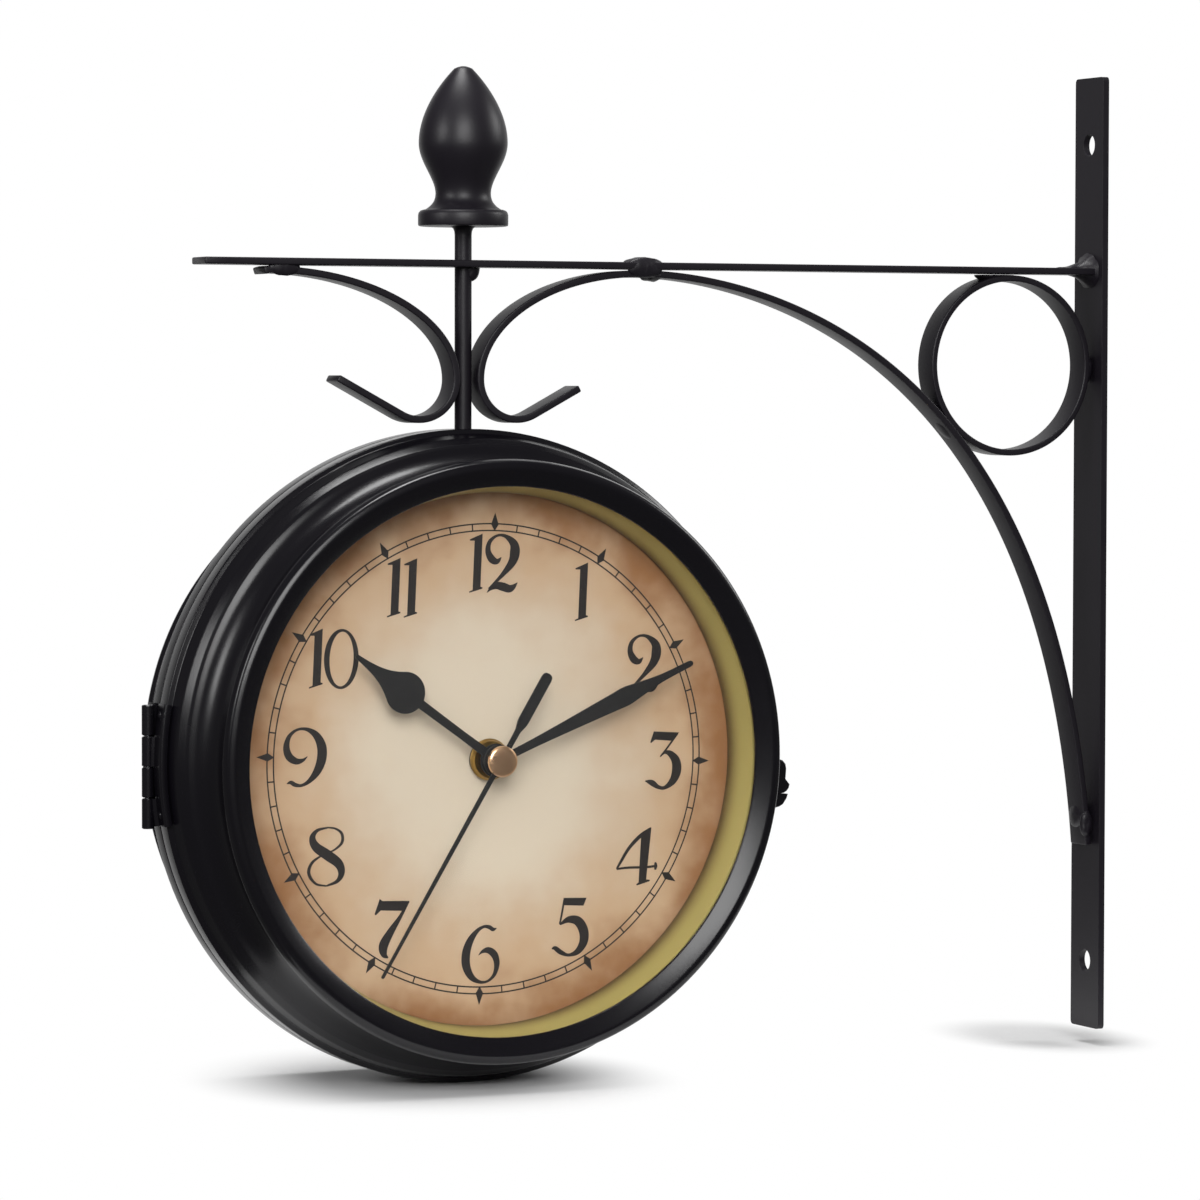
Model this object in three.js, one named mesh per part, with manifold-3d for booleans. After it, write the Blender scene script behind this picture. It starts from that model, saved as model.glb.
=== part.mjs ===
// Double sided station clock on a wrought iron wall bracket.
//
// Millimetres, +Z up. The origin is the middle of the wall plate's back face, on the wall plane X = 0.
// The bracket reaches out towards -X and the front dial faces -Y.

import * as THREE from 'three';
import { mergeVertices } from 'three/addons/utils/BufferGeometryUtils.js';
import Module from 'manifold-3d';

const wasm = await Module();
wasm.setup();

// ---------------------------------------------------------------- driving dimensions

const CLEAR = 0.3; // gap left between pieces that bear on each other
const HIDDEN = 1; // how far a cutting tool runs past the face it cuts
const BLOCK = 20; // half size of the blocks that trim weld metal

// bracket, bent and welded from flat bar
const PLATE_HEIGHT = 312;
const PLATE_WIDTH = 18;
const PLATE_THICK = 2.2;
const PLATE_CORNER = 1.6;
const SCREW_HOLE_RADIUS = 3.6;
const SCREW_HOLE_SPACING = 268;
const ARM_REACH = 312.6; // wall to the free end of the arm
const ARM_TOP = 93.7;
const ARM_WIDTH = 12;
const ARM_THICK = 2.2;
const STRIP_WIDTH = 10; // arch, scrolls and ring
const STRIP_THICK = 2.2;
const ARCH_APEX_X = -166; // where arch and scroll leave the underside of the arm
const ARCH_FOOT_Z = -95.5;
const ARCH_FOOT_LEAN = 0.08; // radians off the wall plate
const ARCH_ARM_HANDLE = 20; // pull of the curve along the arm
const ARCH_FOOT_HANDLE = 180; // pull of the curve up the wall plate
const RING_RADIUS = 29.3;
const RING_CENTRE = new THREE.Vector2(-33.6, 61.8);
const RING_THICK = 2;

// hanger rod, finial and the case's place under them
const ROD_X = -225.4;
const ROD_RADIUS = 2.65;
const ROD_WELD_REACH = 3.4;
const ROD_WELD_HEIGHT = 5.6;
const FINIAL_BASE_Z = 104.2;
const FINIAL_HEIGHT = 49.5;
const FINIAL_BELLY_RADIUS = 13.8;
const FINIAL_FOOT_RADIUS = 14;
const FINIAL_NECK_RADIUS = 8.6;
const FINIAL_SOCKET = 9;
const NUT_ACROSS_FLATS = 10;
const NUT_HEIGHT = 4;
const ROD_TAIL = 3; // thread showing under the nut

// scrolls beside the rod
const SCROLL_THROAT_Z = 56.8; // height at which both scrolls pass the rod
const SCROLL_HOOK_RADIUS = 12.4;
const SCROLL_TAIL_ANGLE = 0.49; // radians above level
const RIGHT_TAIL = 17.5;
const LEFT_TAIL = 24;
const LEFT_SCROLL_INSET = 16.2; // free end of the arm to the start of the left scroll
const LEFT_SCROLL_FLAT = 5;

// case, two spun steel shells meeting in the plane Y = 0
const CASE_Z = -60;
const RIM_RADIUS = 101.5;
const RIM_DEPTH = 6;
const RIM_STEP = 1.5; // from the rim in to the outer band
const CREST_RADIUS = 96;
const CREST_DEPTH = 14.6; // seam to the crest where the outer band turns into the cove
const NECK_RADIUS = 89.4; // bottom of the cove
const NECK_DEPTH = 25;
const BEZEL_RADIUS = 92.7;
const BEZEL_BACK = 31.6;
const BEZEL_FRONT = 38;
const BEZEL_ROUND = 3;
const OPENING_RADIUS = 84.2;
const OPENING_DEPTH = 35.4;
const SHELL_WALL = 1.2;
const ROUND_STEPS = 40; // facets round the case
const DIAL_TABS = 6; // bent over behind the dial
const TAB_WIDTH = 8;
const TAB_REACH = 3.6;
const TAB_THICK = 0.8;

// behind each bezel
const LENS_THICK = 2;
const DIAL_FACE = 18.3; // seam to the printed face
const DIAL_THICK = 1.2;
const REFLECTOR_DIAL_RADIUS = 82.3;
const REFLECTOR_LENS_RADIUS = 84.8;
const REFLECTOR_SWELL = 0.9;

// quartz movement
const MOVEMENT_SIDE = 56;
const MOVEMENT_CORNER = 5;
const MOVEMENT_BACK = 2.2; // seam to the back of the movement
const BATTERY_RADIUS = 7.1;
const BATTERY_LENGTH = 49.2;
const BATTERY_TERMINAL_RADIUS = 2.7;
const BATTERY_TERMINAL = 1.4;
const BATTERY_DROP = 18.6; // below the hand arbors
const KNOB_RADIUS = 5.5;
const KNOB_DEPTH = 3.4;
const KNOB_PROUD = 1.2;
const KNOB_SIDE = 13;
const KNOB_RISE = 12;
const KNOB_TEETH = 14;
const BUSH_RADIUS = 3.9;
const BUSH_BORE = 2.9;
const BUSH_INNER_END = 9;
const BUSH_FRONT = 23.8;
const HOUR_TUBE_RADIUS = 2.6;
const HOUR_TUBE_BORE = 1.9;
const MINUTE_ARBOR_RADIUS = 1.6;
const MINUTE_ARBOR_BORE = 0.9;
const SECOND_PIN_RADIUS = 0.6;
const WASHER_RADIUS = 8.2;
const WASHER_THICK = 0.8;
const STEM_NUT_ACROSS_FLATS = 11;
const STEM_NUT_HEIGHT = 2.6;

// hands, stamped sheet; the clock reads eleven minutes past ten
const HAND_THICK = 0.6;
const HOUR_HAND_FACE = 25.6;
const MINUTE_HAND_FACE = 27.6;
const SECOND_HAND_FACE = 29.5;
const HOUR_HAND_LENGTH = 57;
const MINUTE_HAND_LENGTH = 72;
const SECOND_HAND_LENGTH = 76;
const HOUR_HUB_RADIUS = 4.6;
const MINUTE_HUB_RADIUS = 4.3;
const SECOND_HUB_RADIUS = 3;
const SPADE_CENTRE = 37;
const SPADE_RADIUS = 6.4;
const LANCE_WIDTH = 5.9;
const LANCE_CENTRE = 47;
const STEM_WIDTH = 2.8;
const COUNTERWEIGHT_END = 31;
const COUNTERWEIGHT_WIDTH = 3.5;
const CAP_RADIUS = 4.8;
const CAP_THICK = 1.5;
const SHOWN_MINUTES = 11.05;
const SHOWN_HOURS = 10 + SHOWN_MINUTES / 60;
const SHOWN_SECONDS = 35.2;

// hinge on the left of the case
const HINGE_DROP = 0.7; // middle of the hinge below the middle of the case
const HINGE_LENGTH = 37.6;
const KNUCKLES = 4;
const KNUCKLE_RADIUS = 1.9;
const HINGE_PIN_RADIUS = 0.85;
const LEAF_THICK = 0.9;
const LEAF_HOOK = 1.4; // how far each leaf turns in over its rim's edge

// draw latch on the right of the case
const LATCH_PLATE_THICK = 0.9;
const LEVER_HALF_WIDTH = 4.8;
const LEVER_WALL = 1;
const LEVER_ROUND = 3; // shoulders of the pressed lever
const LEVER_TIP_DEPTH = 11.6;
const THUMB_LENGTH = 2.8; // wider end of the lever
const THUMB_HEIGHT = 7.2; // out from the rim
const THUMB_NOTCH = 1.1; // below the middle of the lever
const EAR_THICK = 1;
const KNUCKLE_ROUND = 2; // round the latch's pivot
const LATCH_PIVOT = new THREE.Vector2(3.6, 3.6); // out from the rim, forward of the seam
const BAIL_PIVOT = new THREE.Vector2(3.3, 7.4);
const LATCH_PIN_RADIUS = 0.7;
const WIRE_RADIUS = 0.6;
const CATCH_LIP_HEIGHT = 4;
const CATCH_LIP_FACE = 5.5; // seam to the face that the bail pulls on

// ---------------------------------------------------------------- values that follow

const ARM_BOTTOM = ARM_TOP - ARM_THICK;
const PLATE_FACE_X = -PLATE_THICK;
const STRIP_TOP_Z = ARM_BOTTOM - CLEAR; // bars welded under the arm
const STRIP_LINE_Z = STRIP_TOP_Z - STRIP_THICK / 2;
const LEFT_SCROLL_REACH = ARM_REACH + ROD_X - LEFT_SCROLL_INSET - LEFT_SCROLL_FLAT; // rod to the bend under the arm
const SEAM = CLEAR / 2;
const STACK_RADIUS = NECK_RADIUS - SHELL_WALL - CLEAR; // lens, reflector and dial drop through the neck
const LENS_FRONT = OPENING_DEPTH - SHELL_WALL - CLEAR;
const LENS_BACK = LENS_FRONT - LENS_THICK;
const DIAL_BACK = DIAL_FACE - DIAL_THICK;
const MOVEMENT_FRONT = DIAL_BACK - CLEAR;
const RIM_INSIDE = RIM_RADIUS - SHELL_WALL;
const NUT_CORNER = NUT_ACROSS_FLATS / 2 / Math.cos(Math.PI / 6);
const NUT_TOP = CASE_Z + Math.sqrt(RIM_INSIDE ** 2 - NUT_CORNER ** 2) * Math.cos(Math.PI / ROUND_STEPS) - CLEAR;
const HINGE_AXIS = RIM_RADIUS + CLEAR + KNUCKLE_RADIUS; // out from the middle of the case
const LATCH_TURN = Math.PI / ROUND_STEPS; // the latch sits on the facet just below the middle

// ---------------------------------------------------------------- materials

function finish(color, roughness, metalness) {
  return new THREE.MeshStandardMaterial({ color, roughness, metalness });
}

const powderCoat = finish(0x1d1d1f, 0.45, 0.1);
const handBlack = finish(0x191919, 0.6, 0.1);
const dialPaper = finish(0xd9bd90, 0.8, 0);
const goldPlastic = finish(0xa89a52, 0.5, 0.3);
const clearGlass = finish(0xeef3f2, 0.05, 0);
const blackPlastic = finish(0x16171a, 0.5, 0);
const brass = finish(0xb8924a, 0.35, 1);
const copper = finish(0xc98f63, 0.35, 1);
const zincSteel = finish(0x9da0a3, 0.4, 1);
const rubber = finish(0x222222, 0.9, 0);
const batteryJacket = finish(0x5b6470, 0.4, 0.4);

// ---------------------------------------------------------------- solids

// Only positions, shared corners merged and the faces turned outwards.
function closed(geometry) {
  const bare = new THREE.BufferGeometry();
  bare.setAttribute('position', geometry.getAttribute('position').clone());
  if (geometry.index) bare.setIndex(geometry.index.clone());
  const merged = mergeVertices(bare, 1e-4);
  const index = merged.index.array;
  const position = merged.getAttribute('position');
  const kept = [];
  let volume = 0;
  const corners = [new THREE.Vector3(), new THREE.Vector3(), new THREE.Vector3()];
  for (let i = 0; i < index.length; i += 3) {
    const [a, b, c] = [index[i], index[i + 1], index[i + 2]];
    if (a === b || b === c || c === a) continue;
    kept.push(a, b, c);
    corners[0].fromBufferAttribute(position, a);
    corners[1].fromBufferAttribute(position, b);
    corners[2].fromBufferAttribute(position, c);
    volume += corners[0].dot(corners[1].cross(corners[2]));
  }
  if (volume < 0) kept.reverse();
  merged.setIndex(kept);
  return merged;
}

function toManifold(geometry) {
  const solid = closed(geometry);
  return new wasm.Manifold(new wasm.Mesh({
    numProp: 3,
    vertProperties: Float32Array.from(solid.getAttribute('position').array),
    triVerts: Uint32Array.from(solid.index.array),
  }));
}

function fromManifold(manifold) {
  const mesh = manifold.getMesh();
  const geometry = new THREE.BufferGeometry();
  geometry.setAttribute('position', new THREE.BufferAttribute(Float32Array.from(mesh.vertProperties), 3));
  geometry.setIndex(Array.from(mesh.triVerts));
  return geometry;
}

function join(first, ...others) {
  return fromManifold(others.reduce((sum, geometry) => sum.add(toManifold(geometry)), toManifold(first)));
}

function common(first, second) {
  return fromManifold(toManifold(first).intersect(toManifold(second)));
}

function cut(first, ...tools) {
  return fromManifold(tools.reduce((sum, tool) => sum.subtract(toManifold(tool)), toManifold(first)));
}

function box(low, high) {
  const size = new THREE.Vector3().subVectors(high, low);
  const middle = new THREE.Vector3().addVectors(low, high).multiplyScalar(0.5);
  return new THREE.BoxGeometry(size.x, size.y, size.z).translate(middle.x, middle.y, middle.z);
}

function boxOf(x0, x1, y0, y1, z0, z1) {
  return box(new THREE.Vector3(x0, y0, z0), new THREE.Vector3(x1, y1, z1));
}

// A round bar along Z between two heights.
function uprightBar(radius, z0, z1, x, y, steps = 24) {
  const bar = new THREE.CylinderGeometry(radius, radius, z1 - z0, steps);
  return bar.rotateX(Math.PI / 2).translate(x, y, (z0 + z1) / 2);
}

// A body turned about the axis of the case. Profile points are radius and depth in front of the seam.
function turned(profile, steps = ROUND_STEPS) {
  const points = profile.map((point) => new THREE.Vector2(point.x, -point.y));
  return closed(new THREE.LatheGeometry(points, steps));
}

// A disc or ring about the axis of the case, between two depths.
function turnedRing(outer, inner, back, front, steps) {
  const profile = [new THREE.Vector2(inner, back), new THREE.Vector2(outer, back)];
  profile.push(new THREE.Vector2(outer, front), new THREE.Vector2(inner, front));
  if (inner > 0) profile.push(profile[0].clone());
  return turned(profile, steps);
}

// The line that runs at a distance to the left of another, mitred at its corners.
function offsetLine(points, distance) {
  return points.map((point, i) => {
    const before = new THREE.Vector2().subVectors(point, points[Math.max(i - 1, 0)]).normalize();
    const after = new THREE.Vector2().subVectors(points[Math.min(i + 1, points.length - 1)], point).normalize();
    if (i === 0) before.copy(after);
    if (i === points.length - 1) after.copy(before);
    const along = before.clone().add(after).normalize();
    const mitre = distance / Math.max(along.dot(before), 0.5);
    return new THREE.Vector2(point.x - along.y * mitre, point.y + along.x * mitre);
  });
}

// An outline in the plane of the bracket (x, z) given a width along Y, centred on Y = 0.
function acrossY(outline, width, y = 0) {
  const plate = new THREE.ExtrudeGeometry(new THREE.Shape(outline), { depth: width, bevelEnabled: false });
  return plate.rotateX(Math.PI / 2).translate(0, y + width / 2, 0);
}

// A flat bar bent along a line in the plane of the bracket.
function bentBar(line, thick, width) {
  const outline = [...offsetLine(line, thick / 2), ...offsetLine(line, -thick / 2).reverse()];
  return acrossY(outline, width);
}

function arcPoints(centre, radius, from, to, steps) {
  return Array.from({ length: steps + 1 }, (_, i) => {
    const angle = from + ((to - from) * i) / steps;
    return new THREE.Vector2(centre.x + radius * Math.cos(angle), centre.y + radius * Math.sin(angle));
  });
}

function bezierPoints(start, startHandle, endHandle, end, steps) {
  return new THREE.CubicBezierCurve(start, startHandle, endHandle, end).getPoints(steps);
}

// A lump of weld metal, turned about Y by an angle.
function weldBead(x, y, z, along, across, high, turn = 0) {
  const bead = new THREE.SphereGeometry(1, 12, 6).scale(along, across, high);
  return bead.rotateY(turn).translate(x, y, z);
}

function hexNut(acrossFlats, bore, height) {
  const corner = acrossFlats / 2 / Math.cos(Math.PI / 6);
  const hex = new THREE.CylinderGeometry(corner, corner, height, 6);
  const hole = new THREE.CylinderGeometry(bore, bore, height + 2 * HIDDEN, 16);
  return cut(hex, hole);
}

function piece(name, geometry, material) {
  const mesh = new THREE.Mesh(closed(geometry), material);
  mesh.name = name;
  return mesh;
}

function vector(x, y) {
  return new THREE.Vector2(x, y);
}

// ---------------------------------------------------------------- bracket

function wallPlate() {
  const half = vector(PLATE_WIDTH / 2, PLATE_HEIGHT / 2);
  const inner = half.clone().subScalar(PLATE_CORNER);
  const outline = [
    ...arcPoints(inner, PLATE_CORNER, 0, Math.PI / 2, 4),
    ...arcPoints(vector(-inner.x, inner.y), PLATE_CORNER, Math.PI / 2, Math.PI, 4),
    ...arcPoints(vector(-inner.x, -inner.y), PLATE_CORNER, Math.PI, 1.5 * Math.PI, 4),
    ...arcPoints(vector(inner.x, -inner.y), PLATE_CORNER, 1.5 * Math.PI, 2 * Math.PI, 4),
  ];
  const shape = new THREE.Shape(outline);
  for (const side of [1, -1]) {
    const centre = vector(0, (side * SCREW_HOLE_SPACING) / 2);
    shape.holes.push(new THREE.Path(arcPoints(centre, SCREW_HOLE_RADIUS, 0, 2 * Math.PI, 20).slice(1)));
  }
  const plate = new THREE.ExtrudeGeometry(shape, { depth: PLATE_THICK, bevelEnabled: false });
  // the outline's x runs along Y, its y along Z, and its depth along X
  return plate.rotateX(Math.PI / 2).rotateZ(Math.PI / 2).translate(-PLATE_THICK, 0, 0);
}

function armBar() {
  const bar = boxOf(-ARM_REACH, PLATE_FACE_X, -ARM_WIDTH / 2, ARM_WIDTH / 2, ARM_BOTTOM, ARM_TOP);
  const plateWeld = weldBead(PLATE_FACE_X - 1.5, 0, ARM_TOP - ARM_THICK / 2, 7.5, 6.8, 5.8);
  const apexWeld = weldBead(ARCH_APEX_X + 2, 0, ARM_TOP - 1, 5.5, ARM_WIDTH / 2 + 0.4, 3.2);
  const wall = boxOf(PLATE_FACE_X, BLOCK, -BLOCK, BLOCK, ARM_BOTTOM - BLOCK, ARM_TOP + BLOCK);
  const below = boxOf(ARCH_APEX_X - BLOCK, ARCH_APEX_X + BLOCK, -BLOCK, BLOCK, ARM_BOTTOM - BLOCK, ARM_BOTTOM);
  const rodHole = uprightBar(ROD_RADIUS + CLEAR, ARM_BOTTOM - HIDDEN, ARM_TOP + HIDDEN, ROD_X, 0, 18);
  return cut(join(bar, plateWeld, apexWeld), wall, below, rodHole);
}

// From the arm's underside round to the wall plate.
function archLine() {
  const top = vector(ARCH_APEX_X, STRIP_LINE_Z);
  const foot = vector(PLATE_FACE_X - CLEAR - STRIP_THICK / 2 - 0.2, ARCH_FOOT_Z);
  const topHandle = vector(top.x + ARCH_ARM_HANDLE, top.y);
  const footHandle = vector(
    foot.x - ARCH_FOOT_HANDLE * Math.sin(ARCH_FOOT_LEAN),
    foot.y + ARCH_FOOT_HANDLE * Math.cos(ARCH_FOOT_LEAN),
  );
  return bezierPoints(top, topHandle, footHandle, foot, 24);
}

// From the arm's underside down past the rod and round the hook; side is +1 for the wall side.
function scrollLine(side, reach, tail) {
  const throat = ROD_RADIUS + CLEAR + STRIP_THICK / 2;
  const drop = STRIP_LINE_Z - SCROLL_THROAT_Z;
  const roundness = 0.552;
  const local = bezierPoints(
    vector(reach, STRIP_LINE_Z),
    vector(reach - (reach - throat) * roundness, STRIP_LINE_Z),
    vector(throat, SCROLL_THROAT_Z + drop * roundness),
    vector(throat, SCROLL_THROAT_Z),
    12,
  );
  const hookCentre = vector(throat + SCROLL_HOOK_RADIUS, SCROLL_THROAT_Z);
  const hookEnd = 1.5 * Math.PI + SCROLL_TAIL_ANGLE;
  local.push(...arcPoints(hookCentre, SCROLL_HOOK_RADIUS, Math.PI, hookEnd, 9).slice(1));
  const last = local[local.length - 1];
  local.push(vector(last.x + tail * Math.cos(SCROLL_TAIL_ANGLE), last.y + tail * Math.sin(SCROLL_TAIL_ANGLE)));
  return local.map((point) => vector(ROD_X + side * point.x, point.y));
}

// One strip makes the arch and the scroll beyond its apex.
function archBrace() {
  const scroll = scrollLine(1, ARCH_APEX_X - ROD_X, RIGHT_TAIL).reverse();
  const strip = bentBar([...scroll, ...archLine().slice(1)], STRIP_THICK, STRIP_WIDTH);
  const apexWeld = weldBead(ARCH_APEX_X + 2, 0, STRIP_TOP_Z - 1, 6, STRIP_WIDTH / 2 + 0.6, 2.6);
  const footWeld = weldBead(PLATE_FACE_X - 4, 0, ARCH_FOOT_Z + 5, 3.4, STRIP_WIDTH / 2 + 0.4, 5.2);
  const above = boxOf(ARCH_APEX_X - BLOCK, ARCH_APEX_X + BLOCK, -BLOCK, BLOCK, STRIP_TOP_Z, STRIP_TOP_Z + BLOCK);
  const wall = boxOf(PLATE_FACE_X - CLEAR, BLOCK, -BLOCK, BLOCK, ARCH_FOOT_Z - BLOCK, ARCH_FOOT_Z + 2 * BLOCK);
  return cut(join(strip, apexWeld, footWeld), above, wall);
}

function leftScroll() {
  const line = scrollLine(-1, LEFT_SCROLL_REACH, LEFT_TAIL);
  const start = vector(line[0].x - LEFT_SCROLL_FLAT, line[0].y);
  const strip = bentBar([start, ...line], STRIP_THICK, STRIP_WIDTH);
  const weld = weldBead(start.x + 3, 0, STRIP_TOP_Z - 1.6, 5.5, STRIP_WIDTH / 2 + 0.5, 2.8);
  const above = boxOf(start.x - BLOCK, start.x + BLOCK, -BLOCK, BLOCK, STRIP_TOP_Z, STRIP_TOP_Z + BLOCK);
  return cut(join(strip, weld), above);
}

function braceRing() {
  const outer = new THREE.CylinderGeometry(RING_RADIUS, RING_RADIUS, STRIP_WIDTH, 40);
  const bore = RING_RADIUS - RING_THICK;
  const inner = new THREE.CylinderGeometry(bore, bore, STRIP_WIDTH * 2, 40);
  outer.translate(RING_CENTRE.x, 0, RING_CENTRE.y);
  inner.translate(RING_CENTRE.x, 0, RING_CENTRE.y);
  const toArch = 1.24 * Math.PI; // the ring bears on the arch down to the left
  const archWeldX = RING_CENTRE.x + RING_RADIUS * Math.cos(toArch);
  const archWeldZ = RING_CENTRE.y + RING_RADIUS * Math.sin(toArch);
  const across = STRIP_WIDTH / 2 - 0.4;
  const beads = [
    weldBead(RING_CENTRE.x - 4, 0, RING_CENTRE.y + RING_RADIUS, 7, across, 2.2),
    weldBead(RING_CENTRE.x + RING_RADIUS, 0, RING_CENTRE.y - 1, 3, across, 5),
    weldBead(archWeldX, 0, archWeldZ, 1.8, across, 5.5, Math.PI - toArch),
  ];
  const arm = boxOf(-ARM_REACH, 0, -BLOCK, BLOCK, STRIP_TOP_Z, STRIP_TOP_Z + BLOCK);
  const wall = boxOf(PLATE_FACE_X - CLEAR, BLOCK, -BLOCK, BLOCK, 0, ARM_TOP);
  const arch = bentBar(archLine(), STRIP_THICK + 2 * CLEAR, 3 * STRIP_WIDTH);
  return cut(join(outer, ...beads), inner, arm, wall, arch);
}

// The rod carries the finial above the arm and the case at its foot. Its weld lies under the arm.
function hangerRod() {
  const foot = NUT_TOP - NUT_HEIGHT - ROD_TAIL;
  const top = FINIAL_BASE_Z + FINIAL_SOCKET - CLEAR;
  const weldTop = ARM_BOTTOM - CLEAR;
  const profile = [
    vector(0, foot),
    vector(ROD_RADIUS - 0.5, foot),
    vector(ROD_RADIUS, foot + 0.5),
    vector(ROD_RADIUS, top),
    vector(0, top),
  ];
  const rod = closed(new THREE.LatheGeometry(profile, 18)).rotateX(Math.PI / 2).translate(ROD_X, 0, 0);
  const weld = weldBead(ROD_X + 2, 0, weldTop - 0.6, ROD_WELD_REACH + 0.6, ROD_RADIUS + 0.7, ROD_WELD_HEIGHT);
  const arm = boxOf(ROD_X - BLOCK, ROD_X + BLOCK, -BLOCK, BLOCK, weldTop, weldTop + BLOCK);
  return join(rod, cut(weld, arm));
}

function finial() {
  const radius = (share) => FINIAL_BELLY_RADIUS * share;
  const height = (share) => FINIAL_HEIGHT * share;
  const socket = ROD_RADIUS + CLEAR;
  const neck = vector(FINIAL_NECK_RADIUS, height(0.205));
  const belly = vector(radius(1), height(0.52));
  const outline = [
    vector(0, FINIAL_SOCKET),
    vector(socket, FINIAL_SOCKET),
    vector(socket, 0),
    vector(FINIAL_FOOT_RADIUS - 0.6, 0),
    vector(FINIAL_FOOT_RADIUS, 0.6),
    vector(FINIAL_FOOT_RADIUS, height(0.075)),
    vector(FINIAL_FOOT_RADIUS - 0.8, height(0.1)),
    ...bezierPoints(
      vector(FINIAL_FOOT_RADIUS - 2.2, height(0.105)),
      vector(neck.x + 0.6, height(0.135)),
      vector(neck.x, height(0.17)),
      neck,
      3,
    ),
    ...bezierPoints(neck, vector(neck.x, height(0.3)), vector(belly.x, height(0.4)), belly, 5).slice(1),
    ...bezierPoints(belly, vector(belly.x, height(0.72)), vector(radius(0.5), height(0.9)),
      vector(radius(0.2), height(0.985)), 7).slice(1),
    vector(0, height(1)),
  ];
  const turnedUp = closed(new THREE.LatheGeometry(outline, 22)).rotateX(Math.PI / 2);
  return turnedUp.translate(ROD_X, 0, FINIAL_BASE_Z);
}

// ---------------------------------------------------------------- case

// Outside of a half case from the seam to the lip of the opening, as radius and depth.
function shellLine() {
  const crest = vector(CREST_RADIUS, CREST_DEPTH);
  const neck = vector(NECK_RADIUS, NECK_DEPTH);
  const band = vector(RIM_RADIUS - RIM_STEP, RIM_DEPTH + RIM_STEP * 0.6);
  const shoulder = vector(BEZEL_RADIUS - BEZEL_ROUND, BEZEL_FRONT - BEZEL_ROUND);
  return [
    vector(RIM_RADIUS, SEAM),
    vector(RIM_RADIUS, RIM_DEPTH),
    band,
    vector(THREE.MathUtils.lerp(band.x, crest.x, 0.32), THREE.MathUtils.lerp(band.y, crest.y, 0.6)),
    crest,
    vector(THREE.MathUtils.lerp(crest.x, neck.x, 0.4), THREE.MathUtils.lerp(crest.y, neck.y, 0.16)),
    vector(THREE.MathUtils.lerp(crest.x, neck.x, 0.8), THREE.MathUtils.lerp(crest.y, neck.y, 0.4)),
    neck,
    vector(NECK_RADIUS + 0.1, BEZEL_BACK - 0.4),
    vector(BEZEL_RADIUS - 0.8, BEZEL_BACK + 1),
    ...arcPoints(shoulder, BEZEL_ROUND, 0, Math.PI / 2, 3),
    vector(OPENING_RADIUS, OPENING_DEPTH),
  ];
}

function shell() {
  const outside = shellLine();
  const rounded = [3, outside.length - 3, outside.length - 4]; // the inside is plainer at convex turns
  const inside = offsetLine(outside.filter((_, i) => !rounded.includes(i)), SHELL_WALL);
  inside[0].y = SEAM;
  inside[inside.length - 1].x = OPENING_RADIUS;
  const body = turned([...outside, ...inside.reverse(), outside[0].clone()]);
  const tabOut = THREE.MathUtils.lerp(CREST_RADIUS, NECK_RADIUS, 0.4) - SHELL_WALL / 2;
  const tabFront = DIAL_BACK - CLEAR;
  const tabs = Array.from({ length: DIAL_TABS }, (_, i) => {
    const tab = boxOf(STACK_RADIUS - TAB_REACH, tabOut, -tabFront, TAB_THICK - tabFront,
      -TAB_WIDTH / 2, TAB_WIDTH / 2);
    return tab.rotateY((2 * Math.PI * (i + 0.5)) / DIAL_TABS);
  });
  const rodHole = uprightBar(ROD_RADIUS + CLEAR, RIM_RADIUS - 10, RIM_RADIUS + 10, 0, 0, 18);
  return cut(join(body, ...tabs), rodHole);
}

function lens() {
  return turnedRing(STACK_RADIUS, 0, LENS_BACK, LENS_FRONT);
}

// The ring that keeps the dial off the glass; its inner side swells like a quarter round.
function reflector() {
  const back = DIAL_FACE + CLEAR;
  const front = LENS_BACK - CLEAR;
  const inner = bezierPoints(
    vector(REFLECTOR_DIAL_RADIUS, back),
    vector(REFLECTOR_DIAL_RADIUS - REFLECTOR_SWELL, THREE.MathUtils.lerp(back, front, 0.35)),
    vector(REFLECTOR_LENS_RADIUS - REFLECTOR_SWELL, THREE.MathUtils.lerp(back, front, 0.75)),
    vector(REFLECTOR_LENS_RADIUS, front),
    3,
  );
  return turned([vector(STACK_RADIUS, back), vector(STACK_RADIUS, front), ...inner.reverse(),
    vector(STACK_RADIUS, back)]);
}

function dial() {
  const disc = turnedRing(STACK_RADIUS, 0, DIAL_BACK, DIAL_FACE);
  return cut(disc, turnedRing(BUSH_RADIUS + CLEAR, 0, DIAL_BACK - HIDDEN, DIAL_FACE + HIDDEN, 16));
}

// ---------------------------------------------------------------- movement and hands

// An outline in the dial's plane (x, z) given a thickness between two depths.
function plateAt(outline, back, front) {
  return acrossY(outline, front - back, -(front + back) / 2);
}

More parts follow.
